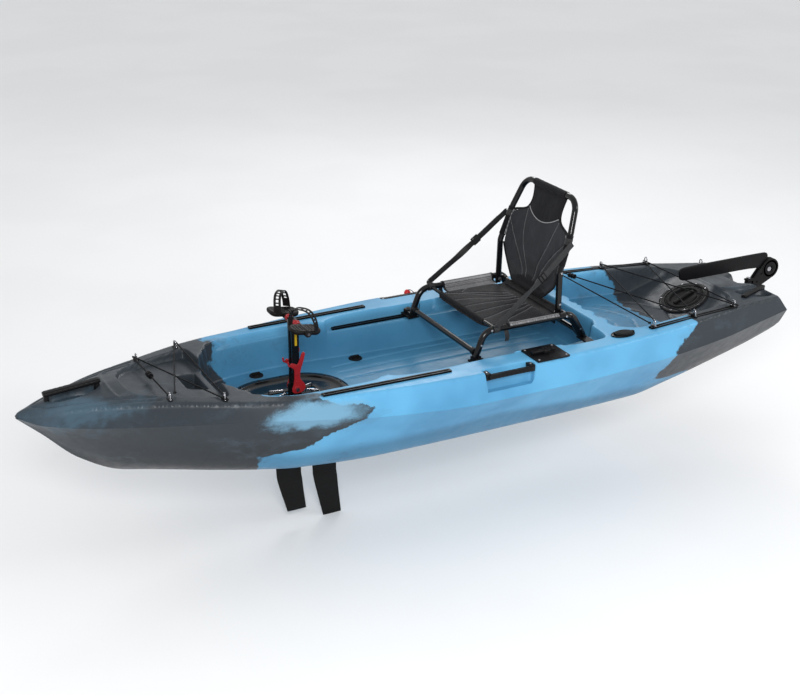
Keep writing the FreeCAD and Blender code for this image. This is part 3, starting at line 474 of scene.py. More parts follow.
def hull_sides(edge_points, low, kind):
    """Rows of points from the deck's edge down to the crease, or to the bottom at the stern."""
    count = len(edge_points)
    rows = []
    for share in (0.12, 0.3, 0.5, 0.7, 0.88, 1.0):
        rows.append(edge_points + (low - edge_points) * share)
    tail = []
    for k in (0.5, 1.0):
        row = low.copy()
        for i in range(count):
            if kind[i] != "side":
                x, y, _ = low[i]
                z = bottom_height(x, y)
                row[i, 2] = low[i, 2] + (z - low[i, 2]) * k
                if kind[i] == "transom" or x < -1521:
                    row[i, 0] = max(x, float(rake(row[i, 2])))
        tail.append(row)
    return rows + tail


def build_deck():
    """Deck, wells and topsides down to the crease, in one skin."""
    out, tri, edge, low, kind = deck_skin()
    count = len(edge)
    rows = hull_sides(out[:count], low, kind)
    verts = list(map(tuple, out))
    faces = [tuple(map(int, f)) for f in tri]
    above = list(range(count))
    for r, row in enumerate(rows):
        start = len(verts)
        verts.extend(map(tuple, row))
        here = [start + i for i in range(count)]
        for i in range(count):
            j = (i + 1) % count
            if r >= 6 and "side" in (kind[i], kind[j]):
                continue
            faces.append((above[i], above[j], here[j], here[i]))
        above = here
    obj = object_from("deck_moulding", np.array(verts) * MM, faces)
    tidy_mesh(obj, SEAL, drop_loose=True)
    return shade(obj, 50)


def build_hull():
    """Lower hull, from the crease to the keel, closed where the drive well and the scuppers open below."""
    xs = np.concatenate([np.arange(TRANSOM, 1440, 16.0), np.linspace(1440, BOW, 20)])
    well_ends = [DRIVE_WELL_AFT - 4, DRIVE_WELL_AFT, DRIVE_WELL_FORE, DRIVE_WELL_FORE + 4]
    xs = np.unique(np.concatenate([xs, [NOTCH_FORE], well_ends]))
    n = 27
    verts, faces = [], []
    for side in (1, -1):
        start = len(verts)
        for x in xs:
            line = section(x)
            line = points_at(line, np.linspace(0, distances(line)[-1], n))
            notch = 0.0
            if x < NOTCH_FORE:
                notch = NOTCH_Y + (NOTCH_LOW_Y - NOTCH_Y) * (NOTCH_FORE - x) / (NOTCH_FORE - TRANSOM)
            for y in np.maximum(line[:, 0], notch):
                z = float(np.interp(y, line[:, 0], line[:, 1]))
                verts.append((max(x, float(rake(z))) if z < CREASE_Z else x, side * y, z))
        for i in range(len(xs) - 1):
            for j in range(n - 1):
                a = start + i * n + j
                f = (a, a + n, a + n + 1, a + 1)
                faces.append(f if side < 0 else f[::-1])
    obj = object_from("hull_moulding", np.array(verts) * MM, faces)
    tidy_mesh(obj, SEAL)
    return shade(obj, 50)


# ---------------------------------------------------------------- materials
class Nodes:
    """Short way to write a node material: each call adds a node and returns its main output."""

    def __init__(self, name):
        self.material = bpy.data.materials.new(name)
        self.material.use_nodes = True
        self.tree = self.material.node_tree
        self.shader = self.tree.nodes["Principled BSDF"]
        coordinates = self.add("ShaderNodeTexCoord")
        self.place = coordinates.outputs["Object"]

    def add(self, kind, **settings):
        node = self.tree.nodes.new(kind)
        for key, value in settings.items():
            setattr(node, key, value)
        return node

    def put(self, socket, value):
        if isinstance(value, bpy.types.NodeSocket):
            self.tree.links.new(value, socket)
        else:
            socket.default_value = value

    def math(self, operation, a, b=0.0, c=0.0, clamp=False):
        node = self.add("ShaderNodeMath", operation=operation, use_clamp=clamp)
        for socket, value in zip(node.inputs, (a, b, c)):
            self.put(socket, value)
        return node.outputs[0]

    def vector(self, operation, a, b=(0, 0, 0)):
        node = self.add("ShaderNodeVectorMath", operation=operation)
        self.put(node.inputs[0], a)
        self.put(node.inputs[3] if operation == "SCALE" else node.inputs[1], b)
        return node.outputs[0]

    def times(self, a, b):
        return self.math("MULTIPLY", a, b)

    def plus(self, a, b):
        return self.math("ADD", a, b)

    def minus(self, a, b):
        return self.math("SUBTRACT", a, b)

    def rest(self, a, clamp=False):
        """What is left of 1."""
        return self.math("SUBTRACT", 1.0, a, clamp=clamp)

    def size(self, a):
        return self.math("ABSOLUTE", a)

    def times_plus(self, a, b, c):
        return self.math("MULTIPLY_ADD", a, b, c)

    def length(self, vector):
        node = self.add("ShaderNodeVectorMath", operation="LENGTH")
        self.put(node.inputs[0], vector)
        return node.outputs["Value"]

    def split(self, vector):
        node = self.add("ShaderNodeSeparateXYZ")
        self.put(node.inputs[0], vector)
        return node.outputs

    def join(self, x, y, z):
        node = self.add("ShaderNodeCombineXYZ")
        for socket, value in zip(node.inputs, (x, y, z)):
            self.put(socket, value)
        return node.outputs[0]

    def noise(self, scale, detail=2.0, rough=0.5, where=None, stretch=None, colour=False):
        node = self.add("ShaderNodeTexNoise")
        node.inputs["Scale"].default_value = scale
        node.inputs["Detail"].default_value = detail
        node.inputs["Roughness"].default_value = rough
        source = where or self.place
        if stretch:
            source = self.vector("MULTIPLY", source, stretch)
        self.put(node.inputs["Vector"], source)
        return node.outputs["Color" if colour else "Fac"]

    def ramp(self, value, stops, smooth_step=False):
        """stops are (position, colour or grey)."""
        node = self.add("ShaderNodeValToRGB")
        ramp = node.color_ramp
        ramp.interpolation = "EASE" if smooth_step else "LINEAR"
        while len(ramp.elements) < len(stops):
            ramp.elements.new(0.5)
        for element, (position, colour) in zip(ramp.elements, stops):
            element.position = position
            colour = (colour,) * 3 if isinstance(colour, (int, float)) else colour
            element.color = (*colour, 1)
        self.put(node.inputs[0], value)
        return node.outputs[0]

    def mix(self, share, a, b, blend="MIX"):
        node = self.add("ShaderNodeMix", data_type="RGBA", blend_type=blend)
        self.put(node.inputs[0], share)
        for socket, value in ((node.inputs[6], a), (node.inputs[7], b)):
            self.put(socket, (*value, 1) if isinstance(value, tuple) and len(value) == 3 else value)
        return node.outputs[2]

    def step(self, value, low, high):
        """0 below low, 1 above high."""
        node = self.add("ShaderNodeMapRange", interpolation_type="SMOOTHSTEP")
        self.put(node.inputs[0], value)
        node.inputs[1].default_value, node.inputs[2].default_value = low, high
        return node.outputs[0]

    def bump(self, height, strength, distance, under=None):
        node = self.add("ShaderNodeBump")
        node.inputs["Strength"].default_value = strength
        node.inputs["Distance"].default_value = distance
        self.put(node.inputs["Height"], height)
        if under:
            self.put(node.inputs["Normal"], under)
        return node.outputs[0]

    def finish(self, **values):
        names = {"colour": "Base Color", "rough": "Roughness", "metal": "Metallic", "coat": "Coat Weight",
                 "coat_rough": "Coat Roughness", "sheen": "Sheen Weight", "sheen_rough": "Sheen Roughness",
                 "normal": "Normal", "specular": "Specular IOR Level", "subsurface": "Subsurface Weight"}
        for key, value in values.items():
            if isinstance(value, tuple) and len(value) == 3:
                value = (*value, 1)
            self.put(self.shader.inputs[names[key]], value)
        return self.material


BLUE, BLUE_DEEP = (0.110, 0.365, 0.600), (0.070, 0.255, 0.450)
SLATE, SLATE_DARK, SLATE_LIGHT = (0.026, 0.033, 0.041), (0.015, 0.016, 0.018), (0.078, 0.110, 0.140)


def ragged_spot(n, warped, streaks, centre, squeeze, ragged, fade):
    """1 inside a ragged spot round a centre, fading to 0 outside it."""
    reach = n.length(n.vector("MULTIPLY", n.vector("SUBTRACT", warped, centre), squeeze))
    return n.rest(n.step(n.plus(reach, n.times(n.minus(streaks, 0.5), ragged)), *fade))


def hull_material():
    """Light blue polyethylene, marbled into slate grey at the bow and the stern, with painted shade darkening
    the wells.
    """
    n = Nodes("moulded_polyethylene")
    wide = n.vector("SUBTRACT", n.noise(3.2, 4, 0.62, colour=True), (0.5, 0.5, 0.5))
    fine = n.vector("SUBTRACT", n.noise(19, 5, 0.7, colour=True), (0.5, 0.5, 0.5))
    x, y, z = n.split(n.place)
    aside = n.size(y)
    outside = n.step(n.minus(aside, n.times(n.size(n.minus(x, -0.1)), -0.09)), 0.36, 0.40)
    amount = n.times_plus(outside, -0.26, 0.36)
    shift = n.vector("ADD", n.vector("SCALE", wide, amount), n.vector("SCALE", fine, 0.05))
    warped = n.vector("ADD", n.place, shift)
    wx, _, wz = n.split(warped)
    height = n.math("DIVIDE", wz, 0.4)
    port_edge = n.ramp(height,
                       [(0.0, 0.80), (0.30, 0.70), (0.50, 0.58), (0.60, 0.47), (0.72, 0.42), (0.86, 0.62),
                        (1.0, 0.80)])
    star_edge = n.ramp(height,
                       [(0.0, 0.84), (0.25, 0.90), (0.5, 0.96), (0.75, 0.95), (0.82, 0.90), (0.86, 0.80),
                        (1.0, 0.86)])
    to_port = n.step(y, -0.02, 0.02)
    bow_edge = n.plus(n.times(to_port, port_edge), n.times(n.rest(to_port), star_edge))
    inner_edge = n.times_plus(outside, n.minus(bow_edge, 0.80), 0.80)
    bow = n.step(n.minus(wx, inner_edge), -0.006, 0.006)
    stern_edge = n.ramp(height, [(0.0, 0.96), (0.3, 0.86), (0.62, 0.89), (0.86, 1.02), (1.0, 1.02)])
    stern_edge = n.times_plus(outside, n.minus(stern_edge, 1.06), 1.06)
    stern = n.step(n.minus(n.times(wx, -1.0), stern_edge), -0.006, 0.006)
    grey = n.math("MAXIMUM", bow, stern)
    streaks = n.noise(5.0, 6, 0.72, where=warped, stretch=(0.5, 1.6, 1.6))
    near_bow = n.rest(n.math("DIVIDE", n.size(n.minus(x, inner_edge)), 0.55), clamp=True)
    near_stern = n.rest(n.math("DIVIDE", n.size(n.plus(x, 0.98)), 0.42), clamp=True)
    near = n.math("MAXIMUM", near_bow, near_stern)
    cloud = n.step(n.times_plus(near, 0.17, streaks), 0.62, 0.80)
    inside_share = n.times_plus(outside, -0.55, 0.85)
    smear = n.times(cloud, inside_share)
    patch = ragged_spot(n, warped, streaks, (0.63, 0.41, 0.285), (5.2, 5.0, 17.0), 1.6, (0.55, 1.15))
    nose = ragged_spot(n, warped, streaks, (1.42, 0.10, 0.345), (5.0, 6.0, 14.0), 2.4, (0.3, 1.3))
    drift = n.noise(2.2, 3, 0.55)
    blue = n.mix(n.step(drift, 0.42, 0.72), BLUE, BLUE_DEEP)
    blue = n.mix(n.times(smear, 0.75), blue, SLATE_LIGHT)
    # Painted shade: the walls and floors of the wells, inside the sides and below the deck, are darkened
    # towards deep blue.
    shade = n.times(n.rest(outside), n.rest(n.step(z, 0.30, 0.36)))
    blue = n.mix(n.times(shade, 0.62), blue, (0.028, 0.110, 0.195))
    low = n.rest(n.step(z, 0.02, 0.27))
    slate = n.mix(n.times(low, 0.75), SLATE, SLATE_DARK)
    slate = n.mix(n.times(n.step(streaks, 0.50, 0.74), 0.40), slate, SLATE_LIGHT)
    colour = n.mix(grey, blue, slate)
    colour = n.mix(n.times(patch, n.times(outside, 0.9)), colour, (0.155, 0.33, 0.47))
    colour = n.mix(n.times(nose, 0.40), colour, (0.085, 0.17, 0.24))
    grain = n.noise(420, 2, 0.5)
    ripple = n.noise(14, 3, 0.5)
    normal = n.bump(grain, 0.05, 0.0008, n.bump(ripple, 0.07, 0.012))
    rough = n.ramp(n.noise(30, 3), [(0.3, 0.33), (0.7, 0.44)])
    return n.finish(colour=colour, rough=rough, normal=normal, specular=0.24, coat=0.03, coat_rough=0.25)


def plastic(name, colour, rough=0.45, grain=380.0, depth=0.25, worn=0.04, coat=0.0, specular=0.14):
    """Moulded plastic: fine grain, patchy gloss, paler scuffs."""
    n = Nodes(name)
    scuff = n.step(n.noise(46, 6, 0.75), 0.60, 0.78)
    pale = tuple(min(1.0, c + worn) for c in colour)
    tint = n.mix(n.times(scuff, 0.7), colour, pale)
    normal = n.bump(n.noise(grain, 3, 0.6), depth, 0.0006)
    gloss = n.ramp(n.noise(22, 4), [(0.3, max(0.02, rough - 0.07)), (0.7, min(1.0, rough + 0.08))])
    return n.finish(colour=tint, rough=gloss, normal=normal, coat=coat, coat_rough=0.08, specular=specular)


def metal(name, colour, rough=0.3, brushed=(1, 1, 30), depth=0.12, full=1.0, specular=0.5):
    """Metal with fine drawn lines and hazy patches."""
    n = Nodes(name)
    drawn = n.noise(160, 2, 0.6, stretch=brushed)
    haze = n.noise(18, 4, 0.6)
    tint = n.mix(n.step(haze, 0.45, 0.75), colour, tuple(c * 0.7 for c in colour))
    gloss = n.ramp(haze, [(0.25, max(0.03, rough - 0.08)), (0.75, min(1.0, rough + 0.12))])
    return n.finish(colour=tint, rough=gloss, metal=full, specular=specular,
                    normal=n.bump(drawn, depth, 0.0004))


# ---------------------------------------------------------------- shapes, millimetres
def turns(count):
    return np.linspace(0, tau, count, endpoint=False)


def box_at(x, y, width, height, radius, steps=3):
    return np.array(rounded_box(width, height, radius, steps)) + (x, y)


def oval(a, b, count=16):
    return [(a * cos(i * tau / count), b * sin(i * tau / count)) for i in range(count)]


def rounded_box(width, height, radius, steps=3):
    """Rectangle with round corners, about its centre."""
    out = []
    for cx, cy, start in ((1, 1, 0), (-1, 1, 90), (-1, -1, 180), (1, -1, 270)):
        for k in range(steps + 1):
            a = radians(start + 90 * k / steps)
            out.append((cx * (width / 2 - radius) + radius * cos(a),
                        cy * (height / 2 - radius) + radius * sin(a)))
    return out


def skin(rings, caps=True, loop=False):
    """Surface through rings that have the same number of points."""
    n, verts, faces = len(rings[0]), [tuple(p) for ring in rings for p in ring], []
    last = len(rings) if loop else len(rings) - 1
    for r in range(last):
        a, b = r * n, (r + 1) % len(rings) * n
        faces += [(a + i, a + (i + 1) % n, b + (i + 1) % n, b + i) for i in range(n)]
    if caps and not loop:
        faces += [tuple(range(n))[::-1], tuple(range(last * n, last * n + n))]
    return verts, faces


def fillet(points, radius, steps=8):
    """Path whose corners are arcs."""
    p = [np.array(q, float) for q in points]
    out = [p[0]]
    for before, here, after in zip(p, p[1:], p[2:]):
        a, b = (before - here), (after - here)
        la, lb = np.linalg.norm(a), np.linalg.norm(b)
        a, b = a / la, b / lb
        half = acos(np.clip(a @ b, -1, 1)) / 2
        cut = min(radius / tan(half), 0.49 * la, 0.49 * lb)
        for t in np.linspace(0, 1, steps + 1):
            out.append(here + a * cut * (1 - t) ** 2 + b * cut * t ** 2)
    return np.array(out + [p[-1]])


def sweep(path, profile, up=(0, 0, 1), caps=True, loop=False, scale=None, twist=None):
    """Profile carried along a path: its first axis across, its second towards up."""
    p = np.array(path, float)
    if loop:
        t = np.roll(p, -1, 0) - np.roll(p, 1, 0)
    else:
        t = np.gradient(p, axis=0)
    t /= np.linalg.norm(t, axis=1)[:, None]
    v = np.array(up, float)
    rings = []
    for i, (point, tangent) in enumerate(zip(p, t)):
        v = v - tangent * (v @ tangent)
        v /= np.linalg.norm(v)
        u = np.cross(tangent, v)
        k = 1.0 if scale is None else scale[i]
        a = 0.0 if twist is None else twist[i]
        uu, vv = u * cos(a) + v * sin(a), v * cos(a) - u * sin(a)
        rings.append([point + (uu * x + vv * y) * k for x, y in profile])
    return skin(rings, caps, loop)


def plate(outline, low, high, edge=1.5, steps=3, crown=0.0):
    """Slab over an outline, with rounded edges; crown lifts the middle of the top."""
    outline = np.array(outline, float)
    rings = []
    for k in range(steps + 1):
        a = pi / 2 * k / steps
        inset, rise = edge * (1 - sin(a)), edge * (1 - cos(a))
        rings.append([(x, y, low + rise) for x, y in offset_ring(outline, -inset)])
    for k in range(steps + 1):
        a = pi / 2 * k / steps
        inset, drop = edge * (1 - cos(a)), edge * (1 - sin(a))
        rings.append([(x, y, high - drop) for x, y in offset_ring(outline, -inset)])
    if crown:
        middle = outline.mean(0)
        for share in (0.75, 0.4, 0.12):
            rings.append([(*(middle + (q - middle) * share), high + crown * (1 - share ** 2))
                          for q in offset_ring(outline, -edge)])
    return skin(rings)


def lathe(profile, steps=40):
    """Turned shape about +Z, from (radius, height) pairs."""
    rings = [[(r * cos(i * tau / steps), r * sin(i * tau / steps), h)
              for i in range(steps)] for r, h in profile]
    return skin(rings)


def moved(x, y, z):
    return Matrix.Translation((x, y, z))


def turned(angle, axis):
    return Matrix.Rotation(angle, 4, axis)


def placed(origin, z=(0, 0, 1), x=(1, 0, 0)):
    """Frame with its origin, its z axis and, nearly, its x axis."""
    z = Vector(z).normalized()
    y = z.cross(Vector(x)).normalized()
    return Matrix.Translation(origin) @ Matrix((y.cross(z), y, z)).transposed().to_4x4()


class Shape:
    """Vertices in millimetres and faces, gathered part by part."""

    def __init__(self):
        self.verts, self.faces = [], []

    def add(self, part, matrix=None):
        verts, faces = part
        start = len(self.verts)
        self.verts += [tuple(v) if matrix is None else tuple(matrix @ Vector(v)) for v in verts]
        self.faces += [tuple(start + i for i in f) for f in faces]
        return self

    def object(self, name, angle=38):
        obj = object_from(name, np.array(self.verts) * MM, self.faces)
        tidy_mesh(obj)
        return shade(obj, angle)


def tidy_mesh(obj, merge=0.00002, drop_loose=False):
    """Joins points that coincide, turns the faces outwards and, if asked, drops points without faces."""
    bm = bmesh.new()
    bm.from_mesh(obj.data)
    bmesh.ops.remove_doubles(bm, verts=bm.verts, dist=merge)
    if drop_loose:
        bmesh.ops.delete(bm, geom=[v for v in bm.verts if not v.link_faces], context="VERTS")
    bmesh.ops.recalc_face_normals(bm, faces=bm.faces)
    bm.to_mesh(obj.data)
    bm.free()


def show(obj, material, body, slot, *nodes):
    """Gives a finished piece its material and body, and hides the CAD nodes it stands for; slot is not used.
    """
    if not obj.data.materials:
        obj.data.materials.append(material)
    if body:
        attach(obj, body)
    if nodes:
        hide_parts(*nodes)
    return obj


def keep(material, *nodes, soften=0.0):
    """A CAD node stays as it is, with its edges softened and a finished material."""
    for name in nodes:
        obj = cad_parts[name]
        obj.data.materials.clear()
        obj.data.materials.append(material)
        if soften:
            weld = obj.modifiers.new("weld", "WELD")
            weld.merge_threshold = 0.00001
            bevel = obj.modifiers.new("soft_edges", "BEVEL")
            bevel.width, bevel.segments, bevel.limit_method = soften * MM, 2, "ANGLE"
            bevel.angle_limit = radians(35)
            bevel.harden_normals = True


def dome_screw(r):
    """Pan head with a recess."""
    return lathe([(r, 0), (r, 0.35 * r), (0.86 * r, 0.58 * r), (0.5 * r, 0.68 * r), (0.44 * r, 0.66 * r),
                  (0.38 * r, 0.3 * r), (0.05 * r, 0.28 * r)], 14)


def screws(name, places, r, body, material, slot="steel", *nodes):
    """places are (origin, axis)."""
    shape = Shape()
    for origin, axis in places:
        shape.add(dome_screw(r), placed(origin, axis, (0.3, 0.2, 0.9) if abs(axis[2]) < 0.8 else (1, 0, 0)))
    return show(shape.object(name), material, body, slot, *nodes)


# ---------------------------------------------------------------- the other materials
def woven(name, colour, thread, across, along, fleck=0.3, rough=0.8, relief=0.5):
    """Plain weave whose two thread directions run along two of the axes; thread is the pitch in metres."""
    n = Nodes(name)
    axis = dict(zip("xyz", n.split(n.place)))
    waves = [n.math("SINE", n.times(axis[a], tau / thread)) for a in (across, along)]
    weave = n.times(waves[0], waves[1])
    patches = n.noise(16, 4, 0.65)
    flecks = n.step(n.noise(900, 2, 0.6), 0.5, 0.72)
    pale = tuple(min(1.0, c * 2.1 + 0.004) for c in colour)
    tint = n.mix(n.times(flecks, fleck), colour, pale)
    tint = n.mix(n.times(n.step(patches, 0.45, 0.75), 0.30), tint, tuple(c * 0.55 for c in colour))
    normal = n.bump(weave, relief, 0.0003, n.bump(n.noise(55, 4, 0.6), 0.25, 0.002))
    gloss = n.ramp(patches, [(0.3, rough - 0.08), (0.7, min(1.0, rough + 0.1))])
    return n.finish(colour=tint, rough=gloss, normal=normal, sheen=0.03, sheen_rough=0.5, specular=0.15)


def seat_cloth():
    """Coated polyester: patchy charcoal, near black above the arc across the back and at the waist."""
    n = Nodes("seat_cloth")
    x, y, z = n.split(n.place)
    weave = n.times(n.math("SINE", n.times(y, 4600)), n.math("SINE", n.times(n.plus(x, z), 4600)))
    arc = n.times_plus(n.times(y, y), 3.1, 0.732)
    top = n.step(n.minus(z, arc), -0.002, 0.002)
    top = n.times(top, n.rest(n.step(n.size(y), 0.112, 0.118)))
    waist = n.rest(n.step(n.times_plus(n.size(y), 0.30, z), 0.512, 0.520))
    upright = n.step(z, 0.44, 0.446)
    rear = n.rest(n.step(n.minus(x, n.times(n.size(y), 0.25)), -0.400, -0.394))
    flat = n.rest(upright)
    dark = n.math("MAXIMUM", top, n.math("MAXIMUM", n.times(waist, upright), n.times(rear, flat)))
    patches = n.noise(13, 5, 0.65)
    charcoal = n.mix(n.step(patches, 0.38, 0.72), (0.0165, 0.0175, 0.0205), (0.029, 0.030, 0.034))
    charcoal = n.mix(n.times(flat, 0.85), charcoal, (0.0062, 0.0062, 0.0075))
    flecks = n.step(n.noise(700, 2, 0.6), 0.52, 0.72)
    charcoal = n.mix(n.times(flecks, 0.30), charcoal, (0.055, 0.056, 0.060))
    tint = n.mix(dark, charcoal, (0.0048, 0.0048, 0.0062))
    creases = n.noise(26, 4, 0.7, stretch=(1.0, 2.6, 0.8))
    normal = n.bump(weave, 0.35, 0.0003, n.bump(creases, 0.55, 0.004))
    gloss = n.ramp(patches, [(0.3, 0.56), (0.7, 0.74)])
    return n.finish(colour=tint, rough=gloss, normal=normal, sheen=0.03, sheen_rough=0.4, specular=0.2)


def mesh_cloth():
    """Open grey mesh over black, as small staggered cells."""
    n = Nodes("mesh_cloth")
    x, y, z = n.split(n.place)
    cell = n.add("ShaderNodeTexVoronoi", feature="DISTANCE_TO_EDGE")
    cell.inputs["Scale"].default_value = 190
    cell.inputs["Randomness"].default_value = 0.25
    n.put(cell.inputs["Vector"], n.join(x, n.plus(y, z), 0.0))
    edge = n.rest(n.step(cell.outputs["Distance"], 0.08, 0.30))
    tint = n.mix(edge, (0.014, 0.014, 0.015), (0.30, 0.30, 0.31))
    tint = n.mix(n.times(n.noise(30, 3), 0.35), tint, (0.03, 0.03, 0.03))
    return n.finish(colour=tint, rough=0.85, normal=n.bump(edge, 0.6, 0.0006))


def webbing_material():
    """Nylon webbing: fine ribs and a herringbone fleck."""
    n = Nodes("nylon_webbing")
    x, _, z = n.split(n.place)
    along = n.minus(n.times(x, 0.79), n.times(z, 0.61))
    ribs = n.math("SINE", n.times(along, tau / 0.0016))
    wide = n.noise(20, 3)
    tint = n.mix(n.times(n.step(wide, 0.4, 0.7), 0.6), (0.0050, 0.0050, 0.0056), (0.010, 0.010, 0.011))
    tint = n.mix(n.times(n.step(n.noise(1100, 1), 0.55, 0.7), 0.3), tint, (0.026, 0.026, 0.028))
    return n.finish(colour=tint, rough=0.62, normal=n.bump(ribs, 0.5, 0.0003), sheen=0.1)


def cord_material():
    """Braided elastic cord, black with a pale fleck."""
    n = Nodes("braided_cord")
    x, y, z = n.split(n.place)
    one = n.math("SINE", n.times(n.plus(n.plus(x, y), z), 1900))
    two = n.math("SINE", n.times(n.minus(n.minus(x, y), z), 1900))
    braid = n.math("MAXIMUM", one, two)
    tint = n.mix(n.step(n.noise(240, 2), 0.60, 0.72), (0.0050, 0.0050, 0.0056), (0.028, 0.028, 0.031))
    return n.finish(colour=tint, rough=0.6, specular=0.15, normal=n.bump(braid, 0.6, 0.0004))


HULL = hull_material()
BLACK = plastic("moulded_black", (0.0050, 0.0050, 0.0058), 0.42, depth=0.35, worn=0.012)
SMOOTH_BLACK = plastic("drive_black", (0.0040, 0.0048, 0.0058), 0.26, 240, 0.08, 0.008, specular=0.2)
GLOSS = plastic("glossy_black", (0.0022, 0.0022, 0.0030), 0.12, 120, 0.05, 0.006, specular=0.35)
RUBBER = plastic("black_rubber", (0.0045, 0.0045, 0.0050), 0.60, 520, 0.45, 0.014)
PEDAL = plastic("pedal_rubber", (0.0085, 0.0072, 0.0070), 0.48, 260, 0.6, 0.03)
FIN_RUBBER = plastic("fin_rubber", (0.0050, 0.0048, 0.0046), 0.50, 130, 0.8, 0.012)
TRACK = metal("anodised_black", (0.0075, 0.0075, 0.0080), 0.34, (30, 1, 1), 0.2, 0.6, specular=0.1)
TUBE = plastic("lacquered_tube", (0.0028, 0.0028, 0.0034), 0.13, 90, 0.12, 0.005, coat=0.12, specular=0.25)
RED = plastic("red_lacquer", (0.30, 0.014, 0.018), 0.30, 200, 0.15, 0.05, specular=0.3)
RED_BALL = plastic("red_plastic", (0.50, 0.012, 0.012), 0.28, 200, 0.10, 0.05, specular=0.35)
YELLOW = plastic("yellow_film", (0.50, 0.32, 0.015), 0.35, 200, 0.10, 0.05)
CHROME = metal("polished_steel", (0.42, 0.42, 0.44), 0.16, (1, 1, 18), 0.05)
STEEL = metal("brushed_steel", (0.36, 0.36, 0.38), 0.27, (1, 24, 1), 0.15)
GREY_METAL = metal("cast_grey", (0.10, 0.10, 0.11), 0.42, (8, 8, 8), 0.25)
CLOTH = seat_cloth()
BLACK_CLOTH = woven("black_cloth", (0.0050, 0.0050, 0.0062), 0.0013, "y", "z", 0.25, 0.74)
MESH_CLOTH = mesh_cloth()
WEBBING = webbing_material()
CORD = cord_material()
THREAD = woven("pale_thread", (0.26, 0.26, 0.27), 0.0011, "x", "y", 0.2, 0.6)
PIPING = woven("silver_piping", (0.30, 0.30, 0.31), 0.0010, "y", "z", 0.2, 0.55)


# ---------------------------------------------------------------- hull and deck
for build, node in ((build_deck, "deck_shell"), (build_hull, "hull_shell")):
    show(build(), HULL, "root", "hull", node)


# ---------------------------------------------------------------- handles, tracks and eyes
def grip(p, q, half_width, height, feet, ribs):
    """Bar that is finger-ribbed on its underside, on a flared foot at each end."""
    shape = Shape()
    share = np.linspace(0, 1, 61)
    path = [np.array(p, float) + (np.array(q, float) - p) * s + [0, 0, height / 2] for s in share]
    end = np.minimum(share, 1 - share)
    size = 0.80 + 0.20 * smooth(end / 0.04)
    swell = 0.05 * np.cos(share * tau * ribs) * smooth((end - 0.10) / 0.05)
    shape.add(sweep(path, rounded_box(2 * half_width, height, 0.42 * height, 4),
                    scale=np.minimum(size - swell, 1.0)))
    for x, y, width, depth, z0, z1 in feet:
        base = np.array(rounded_box(width, depth, min(width, depth) * 0.25))
        rings = [[(x + a * k, y + b * k, z0 + (z1 - z0) * s) for a, b in base]
                 for s, k in ((0, 1.0), (0.12, 0.97), (0.5, 0.84), (0.85, 0.84), (1.0, 0.78))]
        shape.add(skin(rings))
    return shape


show(grip((1301, 0, 400), (1502, 0, 383), 15, 17,
          [(1312, 0, 20, 27, 368, 412), (1491, 0, 19, 27, 352, 396)], 11) .object("bow_grip_bar"), BLACK,
     "root", "black_plastic", "bow_handle")
show(grip((-1560, 138, 324), (-1388, 214, 330), 12, 15,
          [(-1552, 142, 22, 22, 314, 332), (-1396, 210, 22, 22, 322, 338)], 9)
     .object("stern_grip_bar"), BLACK, "root", "black_plastic", "stern_handle")


def side_grip_bars():
    """Ribbed carrying bar in each side recess, on two feet."""
    side_grips = Shape()
    for _, s in SIDES:
        bar = grip((-206, s * 440, 321), (-15, s * 440, 321), 12, 18, [], 11)
        side_grips.add((bar.verts, bar.faces))
        for x in (-205, -16):
            foot = plate(rounded_box(22, 40, 4), 317, 343, 3)
            side_grips.add(foot, moved(x, s * 423, 0))
    show(side_grips.object("side_grip_bars"), BLACK, "root", "black_plastic", "side_handles")


side_grip_bars()

screws("handle_screws", [((1312, 0, 411.6), (0, 0, 1)), ((1491, 0, 395.6), (0, 0, 1))]
       + [((x, s * 424, 342.6), (0, 0, 1)) for x in (-205, -16) for _, s in SIDES], 4.2, "root", STEEL)

keep(TRACK, "front_tracks", "rear_tracks", "seat_rails", soften=0.6)


def track_screws():
    """Rows of screws along the gear tracks and the seat's rails."""
    places = []
    for (x0, y0, z0), (x1, y1, z1), count in (((101, 363, 349), (609, 352, 349), 6),
                                              ((-804, 354, 349), (-1278, 297, 340.3), 5),
                                              ((278, 296, 306), (-110, 296, 306), 5)):
        for i in range(count):
            t = (i + 0.5) / count
            for _, s in SIDES:
                places.append(((x0 + (x1 - x0) * t, s * (y0 + (y1 - y0) * t), z0 + (z1 - z0) * t), (0, 0, 1)))
    return screws("track_screws", places, 3.6, "root", STEEL)


track_screws()


def pad_eye(base, hoop, x, y, z):
    """Black two-screw base and the steel hoop that the cord runs through."""
    base.add(plate(box_at(x, y, 18, 32, 7, 5), z - 0.5, z + 3, 1.2, crown=1.0))
    path = [(x, y - 8, z + 2), (x, y - 8, z + 17)]
    path += [(x, y - 8 * cos(a), z + 18 + 8 * sin(a)) for a in np.linspace(0, pi, 13)]
    path += [(x, y + 8, z + 17), (x, y + 8, z + 2)]
    hoop.add(sweep(path, oval(2.5, 2.5, 12), up=(1, 0, 0)))
    for s in (1, -1):
        hoop.add(dome_screw(2.4), moved(x, y + s * 12.4, z + 2.6))
        hoop.add(lathe([(4.2, 0), (4.0, 1.6), (2.6, 2.2)], 16), moved(x, y + s * 8, z + 3))


def track_top(x):
    """Height of the rear gear tracks' upper face."""
    return 355 - 8.7 * (-804 - x) / 474


